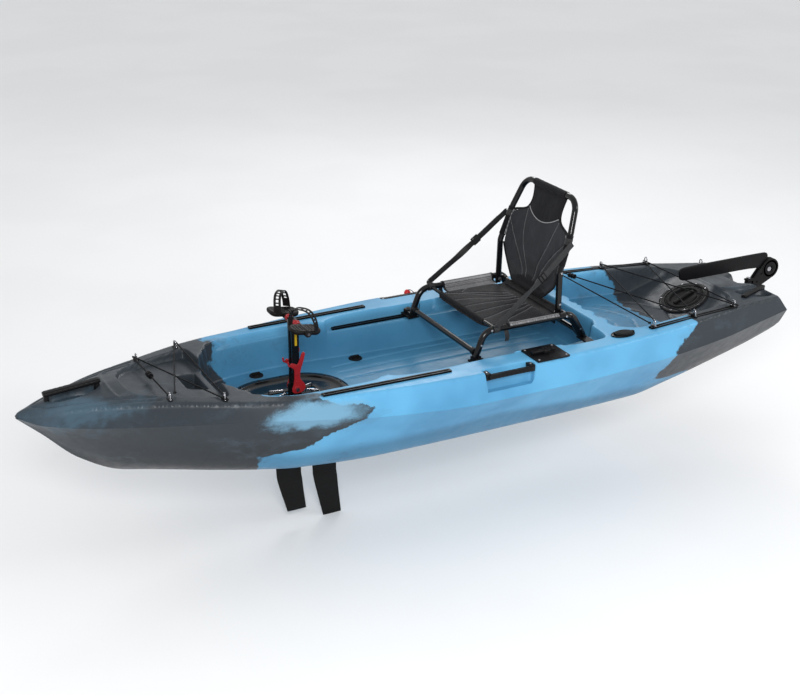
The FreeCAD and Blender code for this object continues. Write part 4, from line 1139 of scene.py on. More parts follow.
BOW_EYES = ((1112, 192, 371.6), (939, 262, 364.4))
TRACK_EYE_PLACES = ((-822, 352), (-1040, 326), (-1262, 299))
for prefix, node, places in (("deck", "pad_eyes",
                              [(x, s * y, z) for x, y, z in BOW_EYES for s in (1, -1)]
                              + [(-1505, -215, 324.6)]),
                             ("track", "track_eyes",
                              [(x, s * y, track_top(x)) for x, y in TRACK_EYE_PLACES for s in (1, -1)])):
    eye_bases, eye_hoops = Shape(), Shape()
    for place in places:
        pad_eye(eye_bases, eye_hoops, *place)
    show(eye_bases.object(prefix + "_eye_bases"), BLACK, "root", "black_plastic", node)
    show(eye_hoops.object(prefix + "_eye_hoops"), CHROME, "root", "chrome")


# ---------------------------------------------------------------- cords
def cord(name, route, radius, slot, *nodes):
    """Smooth line through a given route, in millimetres."""
    data = bpy.data.curves.new(name, "CURVE")
    data.dimensions = "3D"
    data.bevel_depth, data.bevel_resolution, data.use_fill_caps, data.resolution_u = radius * MM, 3, True, 10
    spline = data.splines.new("NURBS")
    spline.points.add(len(route) - 1)
    for point, place in zip(spline.points, route):
        point.co = (*(c * MM for c in place), 1)
    spline.order_u = 3
    spline.use_endpoint_u = True
    obj = bpy.data.objects.new(name, data)
    bpy.context.scene.collection.objects.link(obj)
    data.materials.append(CORD)
    return show(obj, CORD, "root", slot, *nodes)


# Round the inner leg of each pad eye, with a point about six diameters from each on the straight runs
BOW_ROUTE = [(1109, 166, 378.6), (1118.4, -187.6, 378.9), (1119.3, -221.6, 378.9), (1107.6, -189.6, 378.4),
             (943.7, 258.8, 371.3), (932, 290.8, 370.8), (932, 256.8, 371.3), (932, -261.4, 379.9),
             (932, -295.4, 380.4), (942.7, -263.1, 380.9), (1088, 176, 387.6)]
TANK_ROUTE = [(-819, 326, 360.7), (-815.4, -353, 360.8), (-815.2, -387, 360.8), (-825.2, -354.6, 360.6),
              (-1029.6, 306.9, 356.9), (-1039.7, 339.4, 356.7), (-1050.7, 307.2, 356.4),
              (-1258, -298.5, 349.5), (-1269, -330.6, 349.1), (-1269, -296.6, 349.5), (-1269, 296.5, 356.2),
              (-1269, 330.5, 356.6), (-1258, 298.4, 357), (-1050.5, -307.7, 365.3),
              (-1039.5, -339.8, 365.8), (-1029.7, -307.3, 366), (-838, 328, 369.7)]
TOGGLE_ROUTE = [(-124, -310, 306), (-134, -314, 359), (-146, -396, 360), (-150, -447, 357), (-152, -463, 344)]
cord("bow_lacing", BOW_ROUTE, 2.8, "cord", "bow_cord")
cord("tank_lacing", TANK_ROUTE, 2.8, "cord", "tank_cord")
cord("toggle_cord", TOGGLE_ROUTE, 1.5, "cord", "toggle_line")


def cord_knots():
    """Overhand knot at each end of the two lacings."""
    knots = Shape()
    for x, y, z in (BOW_ROUTE[0], BOW_ROUTE[-1], TANK_ROUTE[0], TANK_ROUTE[-1]):
        loop = [(x + 1.35 * (sin(t) + 2 * sin(2 * t)), y + 1.35 * (cos(t) - 2 * cos(2 * t)),
                 z - 1.8 * sin(3 * t)) for t in turns(48)]
        knots.add(sweep(loop, oval(2.5, 2.5, 10), loop=True, up=(0.2, 0.1, 1)))
    show(knots.object("cord_knots", None), CORD, "root", "cord")


cord_knots()


def lacing_locks():
    """Ribbed barrel on each lacing's loose run."""
    locks = Shape()
    for centre, along in (((1114.2, -27.8, 378.7), (10.3, -387.6, 0.3)),
                          ((-851.1, -270.8, 360.1), (-224.5, 726.4, -4.1))):
        frame_of = placed(centre, along, (0.3, 0.1, 1))
        locks.add(lathe([(3.3, -17), (9.2, -17), (10.4, -15.6), (10.4, -12), (8.2, -10.4), (8.2, 9.6),
                         (10.4, 11), (10.4, 15), (9.4, 16.6), (3.3, 17)], 24), frame_of)
        for k in range(8):
            turn = frame_of @ turned(k * tau / 8, "Z")
            locks.add(plate(rounded_box(3, 15, 1), 7.6, 9.4, 0.6), turn @ turned(pi / 2, "Y"))
    show(locks.object("lacing_locks"), BLACK, "root", "black_plastic", "cord_locks")


lacing_locks()

BALL = (-152, -466.6, 333)


def toggle_ball():
    """Red ball with a short neck, at the end of the toggle's cord."""
    ball = Shape().add(lathe([(1.6, 14)]
                             + [(14 * sin(a), 14 * cos(a)) for a in np.linspace(0.16, 2.9, 22)]
                             + [(3.6, -14.2), (3.4, -17.5), (2.4, -18.4)], 36),
                       placed(BALL, (0.0, 0.35, 0.94)))
    show(ball.object("toggle_knob"), RED_BALL, "root", "red_plastic", "toggle_ball")


toggle_ball()


# ---------------------------------------------------------------- deck fittings
keep(BLACK, "rod_holders", soften=1.2)
screws("rod_holder_screws",
       [((ROD_X + dx, s * ROD_Y, 352.8), (0, 0, 1)) for dx in (-47, 47) for _, s in SIDES], 3.2, "root",
       STEEL)


def rod_cap(name, s):
    """Rubber cap over a rod holder, with its stopper, hinge and tab."""
    cap = Shape()
    cx, cy = ROD_X - 4, s * ROD_Y
    cap.add(plate(ellipse(cx, cy, 40, 27, 0), 353.4, 357.0, 1.4))
    cap.add(plate(ellipse(cx, cy, 33, 21, 0), 356.4, 358.6, 1.0, crown=1.2))
    cap.add(plate(ellipse(ROD_X, cy, 20, 20, 0), 345, 354, 2))
    cap.add(sweep([(-635.5, cy - 9, 356.6), (-635.5, cy + 9, 356.6)], oval(3, 3, 14)))
    cap.add(plate(box_at(-717, cy, 14, 14, 5), 353.6, 357.2, 1.2, crown=0.8))
    show(cap.object("rod_cap_cover_" + name), RUBBER, "cap_" + name, "rubber", "rod_cap_" + name)


for name, s in SIDES:
    rod_cap(name, s)


def scupper_bungs():
    """Ribbed rubber plug with a pull tab in each scupper."""
    plugs = Shape()
    for x, y in ((209, 222), (627, 240)):
        for _, s in SIDES:
            place = moved(x, s * y, 0)
            plugs.add(lathe([(20, 160), (21.4, 193), (27.4, 193.6), (28, 195), (26.8, 197.2), (22, 198),
                             (20, 196.6), (13, 196.6), (12, 198.4), (2, 198.8)], 40), place)
            tab = Shape().add(plate(rounded_box(34, 12, 5.5), -3.4, 3.4, 1.8))
            plugs.add((tab.verts, tab.faces), place @ moved(0, 0, 203) @ turned(pi / 2, "X"))
    show(plugs.object("scupper_bungs"), RUBBER, "root", "rubber", "scupper_plugs")


scupper_bungs()

HATCH_AT = placed((RAMP_X, 0, RAMP_Z), (sin(RAMP_TURN), 0, cos(RAMP_TURN)), (1, 0, -0.4))


def hatch_rim():
    """Turned ring round the hatch and its screws."""
    ring = Shape().add(lathe([(84, -22), (91.5, -22), (91.5, -0.5), (108, -0.3), (109, 1.4), (108.2, 4.4),
                              (105, 6.4), (101, 7), (95, 7), (93.6, 6.0), (91.6, 6.0), (90, 7), (86, 7),
                              (84.4, 6), (84, 4), (84, -22)], 96), HATCH_AT)
    show(ring.object("hatch_rim"), BLACK, "root", "black_plastic", "hatch_ring")
    rim_turns = [radians(36 * i + 18) for i in range(10)]
    screws("hatch_rim_screws", [(HATCH_AT @ Vector((100 * cos(a), 100 * sin(a), 6.9)),
                                 HATCH_AT.to_3x3() @ Vector((0, 0, 1))) for a in rim_turns],
           3.4, "root", CHROME, "chrome", "hatch_screws")


hatch_rim()


def hatch_cover():
    """Sunk lid with a grab bar across it and a knurled edge."""
    lid = Shape().add(lathe([(60, -13), (82, -14), (83.4, -12), (83.4, 3.4), (82.6, 5), (76, 5), (74.8, 6),
                             (74, 8.2), (72.4, 9), (64, 9), (62, 8.2), (60.6, 4), (60, 1.6), (57, 1),
                             (40, 1.6), (38, 0.9), (3, 0.9)], 96), HATCH_AT)
    grab = [(-52, 0, 6.2), (-40, 0, 8.4), (0, 0, 8.8), (40, 0, 8.4), (52, 0, 6.2)]
    lid.add(sweep(corner_cut(grab, 0.25, 2, False), rounded_box(16, 10.4, 3.5)), HATCH_AT)
    lid.add(plate([(-58, 3), (-40, 40), (0, 56), (40, 40), (58, 3), (52, 9), (0, 12), (-52, 9)], 0.6, 4.2,
                  1.2), HATCH_AT)
    for i in range(24):
        turn = HATCH_AT @ turned(i * tau / 24, "Z")
        lid.add(plate(box_at(79.4, 0, 3.4, 5, 1.4), 4.6, 7.0, 0.8), turn)
    show(lid.object("hatch_cover_lid"), RUBBER, "hatch_cover", "black_plastic", "hatch_lid")


hatch_cover()


# ---------------------------------------------------------------- pedal drive
CRANK_X, CRANK_Z, PEDAL_Z = 567.0, 232.0, 497.0
OPENING_X, OPENING_Y = 97, 44       # half sizes of the opening in the drive's cover
STAND_UP = turned(pi / 2, "X")      # turns a plan outline (x, y) into (x, z), its z into -y


def stadium(x0, x1, half, count=96):
    """Racetrack outline, resampled evenly from its foremost point."""
    arc = np.linspace(-pi / 2, pi / 2, 24)
    fore = [(x1 - half + half * cos(a), half * sin(a)) for a in arc]
    aft = [(x0 + half - half * cos(a), -half * sin(a)) for a in arc]
    return resample(np.array(fore + aft), (2 * (x1 - x0 - 2 * half) + tau * half) / count)


def drive_cover():
    """Glossy racetrack cover: a raised bevelled rim round a sunk field, open in the middle for the drive."""
    outer = stadium(346, 827, 180)
    angle = np.arctan2(outer[:, 1], outer[:, 0] - CRANK_X)
    reach = np.minimum(OPENING_X / np.maximum(np.abs(np.cos(angle)), 1e-6),
                       OPENING_Y / np.maximum(np.abs(np.sin(angle)), 1e-6))
    hole = np.stack([CRANK_X + reach * np.cos(angle), reach * np.sin(angle)], 1)
    levels = [(0, 194), (0, 197.5), (1.2, 200), (8, 206.6), (10.5, 208), (30, 208), (32.5, 207.2),
              (37, 200.6), (39.5, 199.4)]
    rings = [[(x, y, z) for x, y in (offset_ring(outer, -inset) if inset else outer)] for inset, z in levels]
    field = offset_ring(outer, -39.5)
    for share in (0.35, 0.7, 0.94):
        rings.append([(*(a + (b - a) * share), 199.4) for a, b in zip(field, hole)])
    rings += [[(x, y, z) for x, y in hole] for z in (198.4, 194)]
    return Shape().add(skin(rings, loop=True))


show(drive_cover().object("drive_cover", 50), GLOSS, "root", "gloss_black", "drive_plate")
rim = stadium(366, 807, 160, 14)
screws("drive_cover_screws", [((x, y, 207.6), (0, 0, 1)) for x, y in rim], 4.4, "root", SMOOTH_BLACK,
       "black_plastic")
keep(SMOOTH_BLACK, "drive_spine", soften=2.0)
keep(STEEL, "crank_shaft", soften=0.6)


def drive_rods():
    """Bent steel rods that show in the drive's opening."""
    rods = Shape()
    for _, s in SIDES:
        for x, lean in ((606, 52), (528, -46)):
            route = fillet([(x, s * 9, 198), (x, s * 12, 222), (x + lean, s * 34, 218),
                            (x + lean, s * 38, 198)], 9)
            rods.add(sweep(route, oval(2.3, 2.3, 10), up=(0.3, 0.9, 0.1)))
    show(rods.object("drive_rods"), CHROME, "root", "chrome")


drive_rods()


def standing(outline, s, y0, y1, edge):
    """Plate standing in the x-z plane between two distances from the centre line, on one side."""
    low, high = sorted((-s * y0, -s * y1))
    return Shape().add(plate(outline, low, high, edge), STAND_UP)


def crank_arm(name, s):
    """Bar from the crank's shaft up to the pedal's axle, round at both ends."""
    half = 15.0
    bar = [(CRANK_X + half * sin(a), CRANK_Z - half * cos(a)) for a in np.linspace(-1.57, 1.57, 13)]
    bar += [(CRANK_X + half * 0.86, CRANK_Z + 150)]
    bar += [(CRANK_X + half * cos(a), PEDAL_Z + half * sin(a)) for a in np.linspace(0, 3.14, 13)]
    bar += [(CRANK_X - half * 0.86, CRANK_Z + 150)]
    arm = standing(bar, s, 6, 22, 2.6)
    show(arm.object("crank_arm_" + name), SMOOTH_BLACK, "arm_" + name, "black_metal", "pedal_arm_" + name)


def length_bracket(name, s):
    """Red plate on the outside of the arm, with its horns, two bolts, the boss and the bent pin."""
    outline = [(-22, -16), (16, -16), (22, 2), (12, 22), (9, 84), (24, 92), (27, 104), (20, 110), (6, 104),
               (-3, 98), (-12, 118), (-22, 146), (-33, 146), (-34, 136), (-25, 104), (-15, 78), (-11, 42),
               (-30, 20), (-36, 4)]
    outline = corner_cut([(CRANK_X + dx, CRANK_Z + dz) for dx, dz in outline], 0.24)
    bracket = standing(outline, s, 22, 27.4, 1.2)
    for dz in (30, 62):
        bolt = placed((CRANK_X, s * 27.2, CRANK_Z + dz), (0, s, 0))
        bracket.add(lathe([(5.4, -1), (5.4, 0.6), (4.4, 1.2), (2.2, 1.2), (2, 0.4)], 6), bolt)
    bracket.add(lathe([(13, -1), (13, 0.4), (12, 1), (9, 1), (8.4, 0.4), (8.4, -4)], 30),
                placed((CRANK_X, s * 27.2, CRANK_Z), (0, s, 0)))
    bracket.add(sweep(fillet([(CRANK_X + 12, s * 25, CRANK_Z + 92), (CRANK_X + 32, s * 25, CRANK_Z + 100),
                              (CRANK_X + 34, s * 25, CRANK_Z + 116)], 8), oval(3.4, 2.2, 12), up=(0, 1, 0)))
    show(bracket.object("length_bracket_" + name), RED, "arm_" + name, "red_metal", "crank_bracket_" + name)


def pedal_axle(name, s):
    """Red collar with four teeth, and the pin that the pedal turns on."""
    axle = Shape()
    out = placed((CRANK_X, 0, PEDAL_Z), (0, s, 0))
    axle.add(lathe([(5, 21.5), (12, 22), (13.5, 23.4), (13.5, 29), (12, 30.4), (10.6, 30.6), (10.6, 40),
                    (12, 40.4), (13, 41.6), (13, 48), (11.6, 50), (6, 50.2)], 32), out)
    for k in range(4):
        tooth = out @ turned(k * pi / 2 + 0.5, "Z") @ moved(0, 0, 26)
        axle.add(plate(box_at(12.6, 0, 7, 8, 1.6), -3.4, 3.4, 1.0), tooth)
    show(axle.object("axle_collar_" + name), RED, "arm_" + name, "red_metal", "pedal_axle_" + name)
    pin = Shape().add(lathe([(3, 4.4), (6, 4.6), (6, 146), (5.2, 148), (1, 148)], 28), out)
    show(pin.object("axle_pin_" + name), GREY_METAL, "arm_" + name, "chrome")


def foot_pad(name, s):
    """Waisted pedal with a raised edge and cross ribs, on its sleeve round the axle."""
    tilt = moved(CRANK_X, 0, PEDAL_Z) @ turned(radians(-10), "Y")
    foot = Shape()
    pad = []
    for a in turns(64):
        c, q = cos(a), sin(a)
        waist = 1 - 0.16 * exp(-(c / 0.42) ** 2)
        pad.append((59 * copysign(abs(c) ** 0.72, c),
                    s * 100 + 44 * waist * copysign(abs(q) ** 0.62, q)))
    pad = corner_cut(pad, 0.25, 1)[::2]
    centre = pad.mean(0)
    rings = []
    for inset, z in ((26, -9), (14, -8.6), (8, -7), (3, -3), (0.6, 2), (0, 6), (1, 9.4), (3.4, 11.6),
                     (7, 12), (10, 11), (14, 9.6), (24, 9)):
        outline = offset_ring(pad, -inset) if inset < 20 else centre + (pad - centre) * (1 - inset / 52)
        rings.append([(x, y, z + (2.0 * smooth((-x - 28) / 26) if z > 8 else 0)) for x, y in outline])
    foot.add(skin(rings), tilt)
    for k in range(7):
        x = -36 + 12 * k
        width = 62 * sqrt(max(0.1, 1 - (x / 62) ** 2))
        foot.add(plate(box_at(x, s * 100, 5, width, 2.2), 8.4, 10.9, 1.0), tilt)
    foot.add(lathe([(6.4, 56), (12, 56.4), (13, 58), (13, 142), (12, 143.6), (6.4, 144)], 32),
             moved(CRANK_X, 0, PEDAL_Z) @ placed((0, 0, 0), (0, s, 0)))
    show(foot.object("foot_pad_" + name, 42), PEDAL, "foot_" + name, "pedal", "pedal_" + name)


def foot_band(name, s):
    """Slotted rubber band that arches over the pedal, and its two studs."""
    strap_path = []
    p, q = np.array((601, s * 60, 503.0)), np.array((533, s * 140, 503.0))
    mid, reach = (p + q) / 2, (q - p) / 2
    for a in np.linspace(0, pi, 37):
        c = cos(a)
        strap_path.append(mid - reach * copysign(abs(c) ** 0.74, c)
                          + np.array((8 * sin(a), 0, 79 * sin(a) ** 0.78)))
    along = (q - p) / np.linalg.norm(q - p)
    across = np.cross(along, (0, 0, 1))
    columns = (-14.5, -13.5, -5.2, 5.2, 13.5, 14.5)
    grid = [[point + across * c for c in columns] for point in strap_path]
    verts, faces = [tuple(v) for row in grid for v in row], []
    for r in range(len(grid) - 1):
        for c in range(len(columns) - 1):
            if c == 2 and 4 < r < 32 and r % 3 != 0:
                continue
            a = r * len(columns) + c
            faces.append((a, a + 1, a + len(columns) + 1, a + len(columns)))
    band = Shape().add((verts, faces)).object("foot_band_" + name, None)
    wrap = band.modifiers.new("thickness", "SOLIDIFY")
    wrap.thickness, wrap.offset = 3.2 * MM, 0.0
    round_off = band.modifiers.new("round_off", "BEVEL")
    round_off.width, round_off.segments, round_off.limit_method = 0.9 * MM, 2, "ANGLE"
    show(band, PEDAL, "foot_" + name, "pedal", "pedal_strap_" + name)
    studs = [(tuple(strap_path[k] + outward * 1.5), tuple(outward)) for k,
             outward in ((2, -along), (34, along))]
    screws("foot_band_studs_" + name, studs, 4.2, "foot_" + name, SMOOTH_BLACK, "pedal")


for name, s in SIDES:
    crank_arm(name, s)
    length_bracket(name, s)
    pedal_axle(name, s)
    foot_pad(name, s)
    foot_band(name, s)

film = Shape().add(plate(rounded_box(9, 46, 1.5), -22.5, -22.0, 0.2),
                   moved(CRANK_X, 0, 430) @ STAND_UP)
show(film.object("arm_film"), YELLOW, "arm_port", "black_metal")


def flexible_fin(name, x, chord, tip):
    """Tapered, faintly ribbed fin that hangs from its mast."""
    top = -50.0
    lead = x + 0.36 * chord
    rings = []
    for t in np.linspace(0, 1, 41):
        z = top + (tip - top) * t
        front = lead - 12 * smooth(t * 0.9) * 0.9 - 33 * max(0.0, t - 0.35) ** 1.2 / 0.6
        width = chord * (1 - 0.10 * t - 0.28 * max(0.0, t - 0.45))
        thick = 11 - 7 * t
        ripple = 0.35 * cos(t * 2 * pi * 13)
        ends = min(1.0, 0.55 + 4 * min(t, 1 - t) / 0.1 * 0.11)
        points = []
        for k in range(32):
            a = k / 32 * tau
            share = 0.5 - 0.5 * cos(a)
            half = (thick * (1.9 * sqrt(share) * (1 - share) ** 1.05) + 0.8) * ends
            body = smooth((share - 0.12) / 0.2) * smooth((1.0 - share) / 0.12)
            half = min(half, thick) + ripple * body
            points.append((front - width * share, copysign(half, sin(a)) if 0 < k != 16 else 0.0, z))
        rings.append(points)
    blade = Shape().add(skin(rings))
    show(blade.object("flexible_fin_" + name, 50), FIN_RUBBER, name + "_fin", "fin", "fin_" + name)
    keep(STEEL, "fin_mast_" + name, soften=0.6)


flexible_fin("fore", 616, 106, -292)
flexible_fin("aft", 466, 104, -345)


# ---------------------------------------------------------------- rudder and steering
keep(BLACK, "rudder_bracket", "rudder_head", soften=1.6)
keep(STEEL, "rudder_pintle", "rudder_bolt", soften=0.8)
HUB_X, HUB_Z = -1697.0, 349.0


def rudder_hub():
    """Turned rings and screws on both faces of the rudder's head."""
    head = Shape()
    for _, s in SIDES:
        disc = placed((HUB_X - 10, s * 12.6, HUB_Z), (0, s, 0))
        head.add(lathe([(45, -1), (45, 0.6), (43.6, 1.6), (39, 1.6), (38, 0.4), (30, 0.4), (29, 1.6),
                        (22, 2.4), (20, 0.6), (12, 0.4)], 64), disc)
        for x, z in ((-1660, 330), (-1640, 296)):
            head.add(dome_screw(4.5), placed((x, s * 13, z), (0, s, 0)))
    show(head.object("rudder_hub_rings"), BLACK, "rudder", "black_plastic")


rudder_hub()


def rudder_paddle():
    """Flat blade, stowed along the deck, with a disc round its bolt."""
    blade_outline = corner_cut([(HUB_X + 2, HUB_Z + 18), (HUB_X + 4, 424), (HUB_X + 60, 426), (-1300, 425),
                                (-1224, 423), (-1208, 411), (-1214, 372), (-1236, 363), (-1320, 362),
                                (HUB_X + 60, 362), (HUB_X + 20, HUB_Z - 8)], 0.2)
    blade = Shape().add(plate(blade_outline, -5, 5, 4.2, 5), STAND_UP)
    blade.add(lathe([(30, -5), (30, 4.6), (29, 5), (7, 5)], 48),
              placed((HUB_X, 0, HUB_Z), (0, 1, 0), (1, 0, 0)))
    show(blade.object("rudder_paddle", 45), BLACK, "blade", "black_plastic", "rudder_blade")


rudder_paddle()

keep(BLACK, "steering_plate", soften=1.0)
screws("steering_plate_screws", [((x, y, 352.8), (0, 0, 1)) for x in (-358, -238) for y in (330, 432)], 4.4,
       "root", STEEL)


def steering_grip():
    """Hub, swelling grip and short tail of the steering lever."""
    lever = Shape()
    pivot = (-298, 381)
    lever.add(lathe([(6.2, 353.6), (16, 353.8), (16.4, 356), (16, 366), (14.4, 369.4), (11, 370.4),
                     (9, 369.2), (2, 369)], 40), moved(*pivot, 0))
    stem = fillet([(-320, 381, 362), (-296, 381, 362.4), (-266, 381, 363.4), (-236, 381, 362)], 20)
    swell = np.interp(np.arange(len(stem)), [0, 6, len(stem) - 1], [0.8, 1.0, 1.12])
    lever.add(sweep(stem, rounded_box(17, 11, 4, 4), scale=swell))
    lever.add(sweep([(-322, 381, 362), (-337, 381, 361)], rounded_box(13, 9, 3.6, 4)))
    show(lever.object("steering_grip"), BLACK, "lever", "black_plastic", "steering_lever")


steering_grip()


# ---------------------------------------------------------------- seat frame
keep(TUBE, "seat_side_tubes", "seat_cross_tubes", "seat_back_frame")
keep(BLACK, "seat_front_feet", "seat_rear_feet", soften=1.4)
keep(STEEL, "seat_pivot_bolts", soften=0.6)


def seat_rivets():
    """Rivets on the side tubes and on the back's tube."""
    rivets = [((x, s * 269.2, z), (0, s, 0)) for x,
              z in ((-84, 378), (-128, 430), (-462, 430), (-528, 366)) for _, s in SIDES]
    screws("side_tube_rivets", rivets, 5.0, "seat", CHROME)
    back_rivets = [((x, s * y, z), (0, s, 0)) for x, y,
                   z in ((-450, 236.6, 470), (-453, 232.6, 596), (-478, 226.5, 676)) for _, s in SIDES]
    screws("back_tube_rivets", back_rivets, 5.0, "seat_back", CHROME)


seat_rivets()


def tube_clamps():
    """Flared sleeves where the seat's tubes meet."""
    clamps = Shape()
    for _, s in SIDES:
        for x, z, r in ((-71, 345, 14), (-540, 345, 14), (-490, 420, 10)):
            hub = placed((x, s * 236, z), (0, s, 0))
            clamps.add(lathe([(r - 3, -11), (r - 0.6, -10), (r, -8), (r, 7), (r + 3, 9), (r + 3, 12)], 28),
                       hub)
    show(clamps.object("tube_clamps"), BLACK, "seat", "black_plastic")


tube_clamps()


def star_knob(name, s):
    """Three-lobed clamp knob on its stud."""
    knob = Shape()
    top = [(r * cos(a), r * sin(a)) for r, a in ((16.2 + 2.8 * cos(3 * a), a) for a in turns(60))]
    place = moved(-66, s * 296, 0)
    knob.add(plate(top, 323.4, 337.2, 3.2, 4, crown=-1.2), place)
    knob.add(lathe([(9, 319.4), (9, 322), (12, 324)], 28), place)
    knob.add(lathe([(6, 335.4), (6, 337.0), (4.6, 338.4), (1, 338.6)], 24), place)
    show(knob.object("star_knob_" + name), BLACK, "knob_" + name, "black_plastic", "seat_knob_" + name)
    stud = Shape().add(lathe([(4, 308), (4, 320.5)], 20), place)
    show(stud.object("knob_stud_" + name), STEEL, "knob_" + name, "steel")


for name, s in SIDES:
    star_knob(name, s)


# ---------------------------------------------------------------- seat fabrics
def evaluated(obj):
    """Applies every modifier to the piece's mesh."""
    graph = bpy.context.evaluated_depsgraph_get()
    mesh = bpy.data.meshes.new_from_object(obj.evaluated_get(graph))
    obj.modifiers.clear()
    obj.data = mesh
    return obj


def coordinates(obj):
    """Points of a mesh as an array, in metres."""
    co = np.zeros(len(obj.data.vertices) * 3, np.float32)
    obj.data.vertices.foreach_get("co", co)
    return co.reshape(-1, 3).astype(float)


def set_coordinates(obj, co):
    obj.data.vertices.foreach_set("co", np.asarray(co, np.float32).ravel())
    obj.data.update()


SIM_FRAMES = 20
BACK_LOW, BACK_HIGH, BACK_HALF_THICK = 452, 846, 4.4
CLOTH_THICK, MESH_THICK = 1.8, 1.4
PAN_REAR, WEB_REAR = -424, -488


def stuffed(obj, voxel, cap, pressure, pinned):
    """Blows a closed shape up as cloth, held where pinned() says; no point moves further than cap."""
    remesh = obj.modifiers.new("remesh", "REMESH")
    remesh.mode, remesh.voxel_size = "VOXEL", voxel * MM
    evaluated(obj)
    rest = coordinates(obj)
    group = obj.vertex_groups.new(name="pin")
    group.add([int(i) for i in np.flatnonzero(pinned(rest / MM))], 1.0, "REPLACE")
    cloth = obj.modifiers.new("cloth", "CLOTH")
    cloth.settings.quality = 4
    cloth.settings.mass = 0.25
    cloth.settings.tension_stiffness = cloth.settings.compression_stiffness = 22
    cloth.settings.bending_stiffness = 0.6
    cloth.settings.use_pressure = True
    cloth.settings.uniform_pressure_force = pressure
    cloth.settings.effector_weights.gravity = 0
    cloth.settings.vertex_group_mass = "pin"
    cloth.point_cache.frame_end = SIM_FRAMES
    for number in range(1, SIM_FRAMES + 1):
        bpy.context.scene.frame_set(number)
    evaluated(obj)
    move = coordinates(obj) - rest
    length = np.maximum(np.linalg.norm(move, axis=1), 1e-9)[:, None]
    set_coordinates(obj, rest + move * np.minimum(1.0, cap * MM / length))
    bpy.context.scene.frame_set(1)
    smoother = obj.modifiers.new("smooth", "SMOOTH")
    smoother.factor, smoother.iterations = 0.5, 4
    finer = obj.modifiers.new("finer", "SUBSURF")
    finer.levels = finer.render_levels = 1
    return evaluated(obj)


def creased(obj, seams, width, depth):
    """Sinks sewn channels into both faces of a pad, towards its middle surface."""
    co = coordinates(obj) / MM
    normals = np.array([vertex.normal for vertex in obj.data.vertices], float)
    sink = np.zeros(len(co))
    for seam in seams:
        away = nearest(co, np.array(seam, float), closed=False)
        sink = np.maximum(sink, depth * np.exp(-(away / width) ** 2))
    set_coordinates(obj, (co - normals * sink[:, None]) * MM)
    return obj


def laid_on(obj, points, direction, lift):
    """Points moved along a direction until they lie on a piece, then lifted off it."""
    back = Vector(direction) * -0.2
    out = []
    for p in points:
        hit, place, normal, _ = obj.ray_cast(Vector(p) * MM + back, Vector(direction))
        if hit:
            out.append(np.array(place + normal * lift * MM) / MM)
    return out


def curve_points(points, spacing):
    """Evenly spaced points on a smooth curve through a few points in space."""
    p = corner_cut(points, 0.25, 3, closed=False)
    length = distances(p)[-1]
    return points_at(p, np.linspace(0, length, max(3, int(length / spacing))))


def stitching(name, obj, seams, direction, body):
    """Rows of single stitches along the seams of a piece."""
    shape = Shape()
    for seam in seams:
        line = laid_on(obj, curve_points(seam, 2.1), direction, 0.25)
        for a in range(0, len(line) - 2, 3):
            shape.add(sweep(line[a:a + 3], oval(0.95, 0.75, 6), up=tuple(-c for c in direction),
                            scale=[0.6, 1.0, 0.6]))
    return show(shape.object(name, None), THREAD, body, "seat_fabric")


def back_at(z):
    """Middle line and half width of the seat back's panel at a height."""
    levels = np.array([(452, -446, 104), (520, -458, 176), (600, -456, 201), (680, -478, 203),
                       (716, -490, 200), (731, -496, 192), (740, -500, 158), (750, -505, 126),
                       (765, -511, 108), (790, -522, 101), (820, -531, 104), (846, -538, 112)], float)
    return float(np.interp(z, levels[:, 0], levels[:, 1])), float(np.interp(z, levels[:, 0], levels[:, 2]))


def back_face(y, z):
    """x of the back panel's middle surface, which is hollowed across."""
    hollow = 16 * (1 - (y / 205) ** 2) * smooth((z - BACK_LOW) / 90) * (1 - 0.75 * smooth((z - 700) / 100))
    return back_at(z)[0] - hollow


def back_panel():
    """Padded back: narrow at the waist, full between the tubes, cut in at the top corners."""
    zs = np.linspace(BACK_LOW, BACK_HIGH, 100)
    halves = np.array([back_at(z)[1] for z in zs])
    for _ in range(3):
        halves[1:-1] = (halves[:-2] + halves[1:-1] * 2 + halves[2:]) / 4
    across = np.linspace(-0.97, 0.97, 15)
    around = [(-1, 0)] + [(k, 1) for k in across] + [(1, 0)] + [(k, -1) for k in np.linspace(0.97, -0.97, 15)]
    rings = []
    for z, half in zip(zs, halves):
        rings.append([(back_face(y * half, z) + d * BACK_HALF_THICK, y * half, z) for y, d in around])
    return Shape().add(skin(rings)).object("seat_back_panel", None)


BACK_SEAMS = [[(-470, y0, 500), (-470, y0 * 1.6, 560), (-478, y1 * 0.80, 650), (-500, y1, z1)]
              for y0, y1, z1 in ((26, 112, 756), (-26, -112, 756), (50, 194, 690), (-50, -194, 690))]


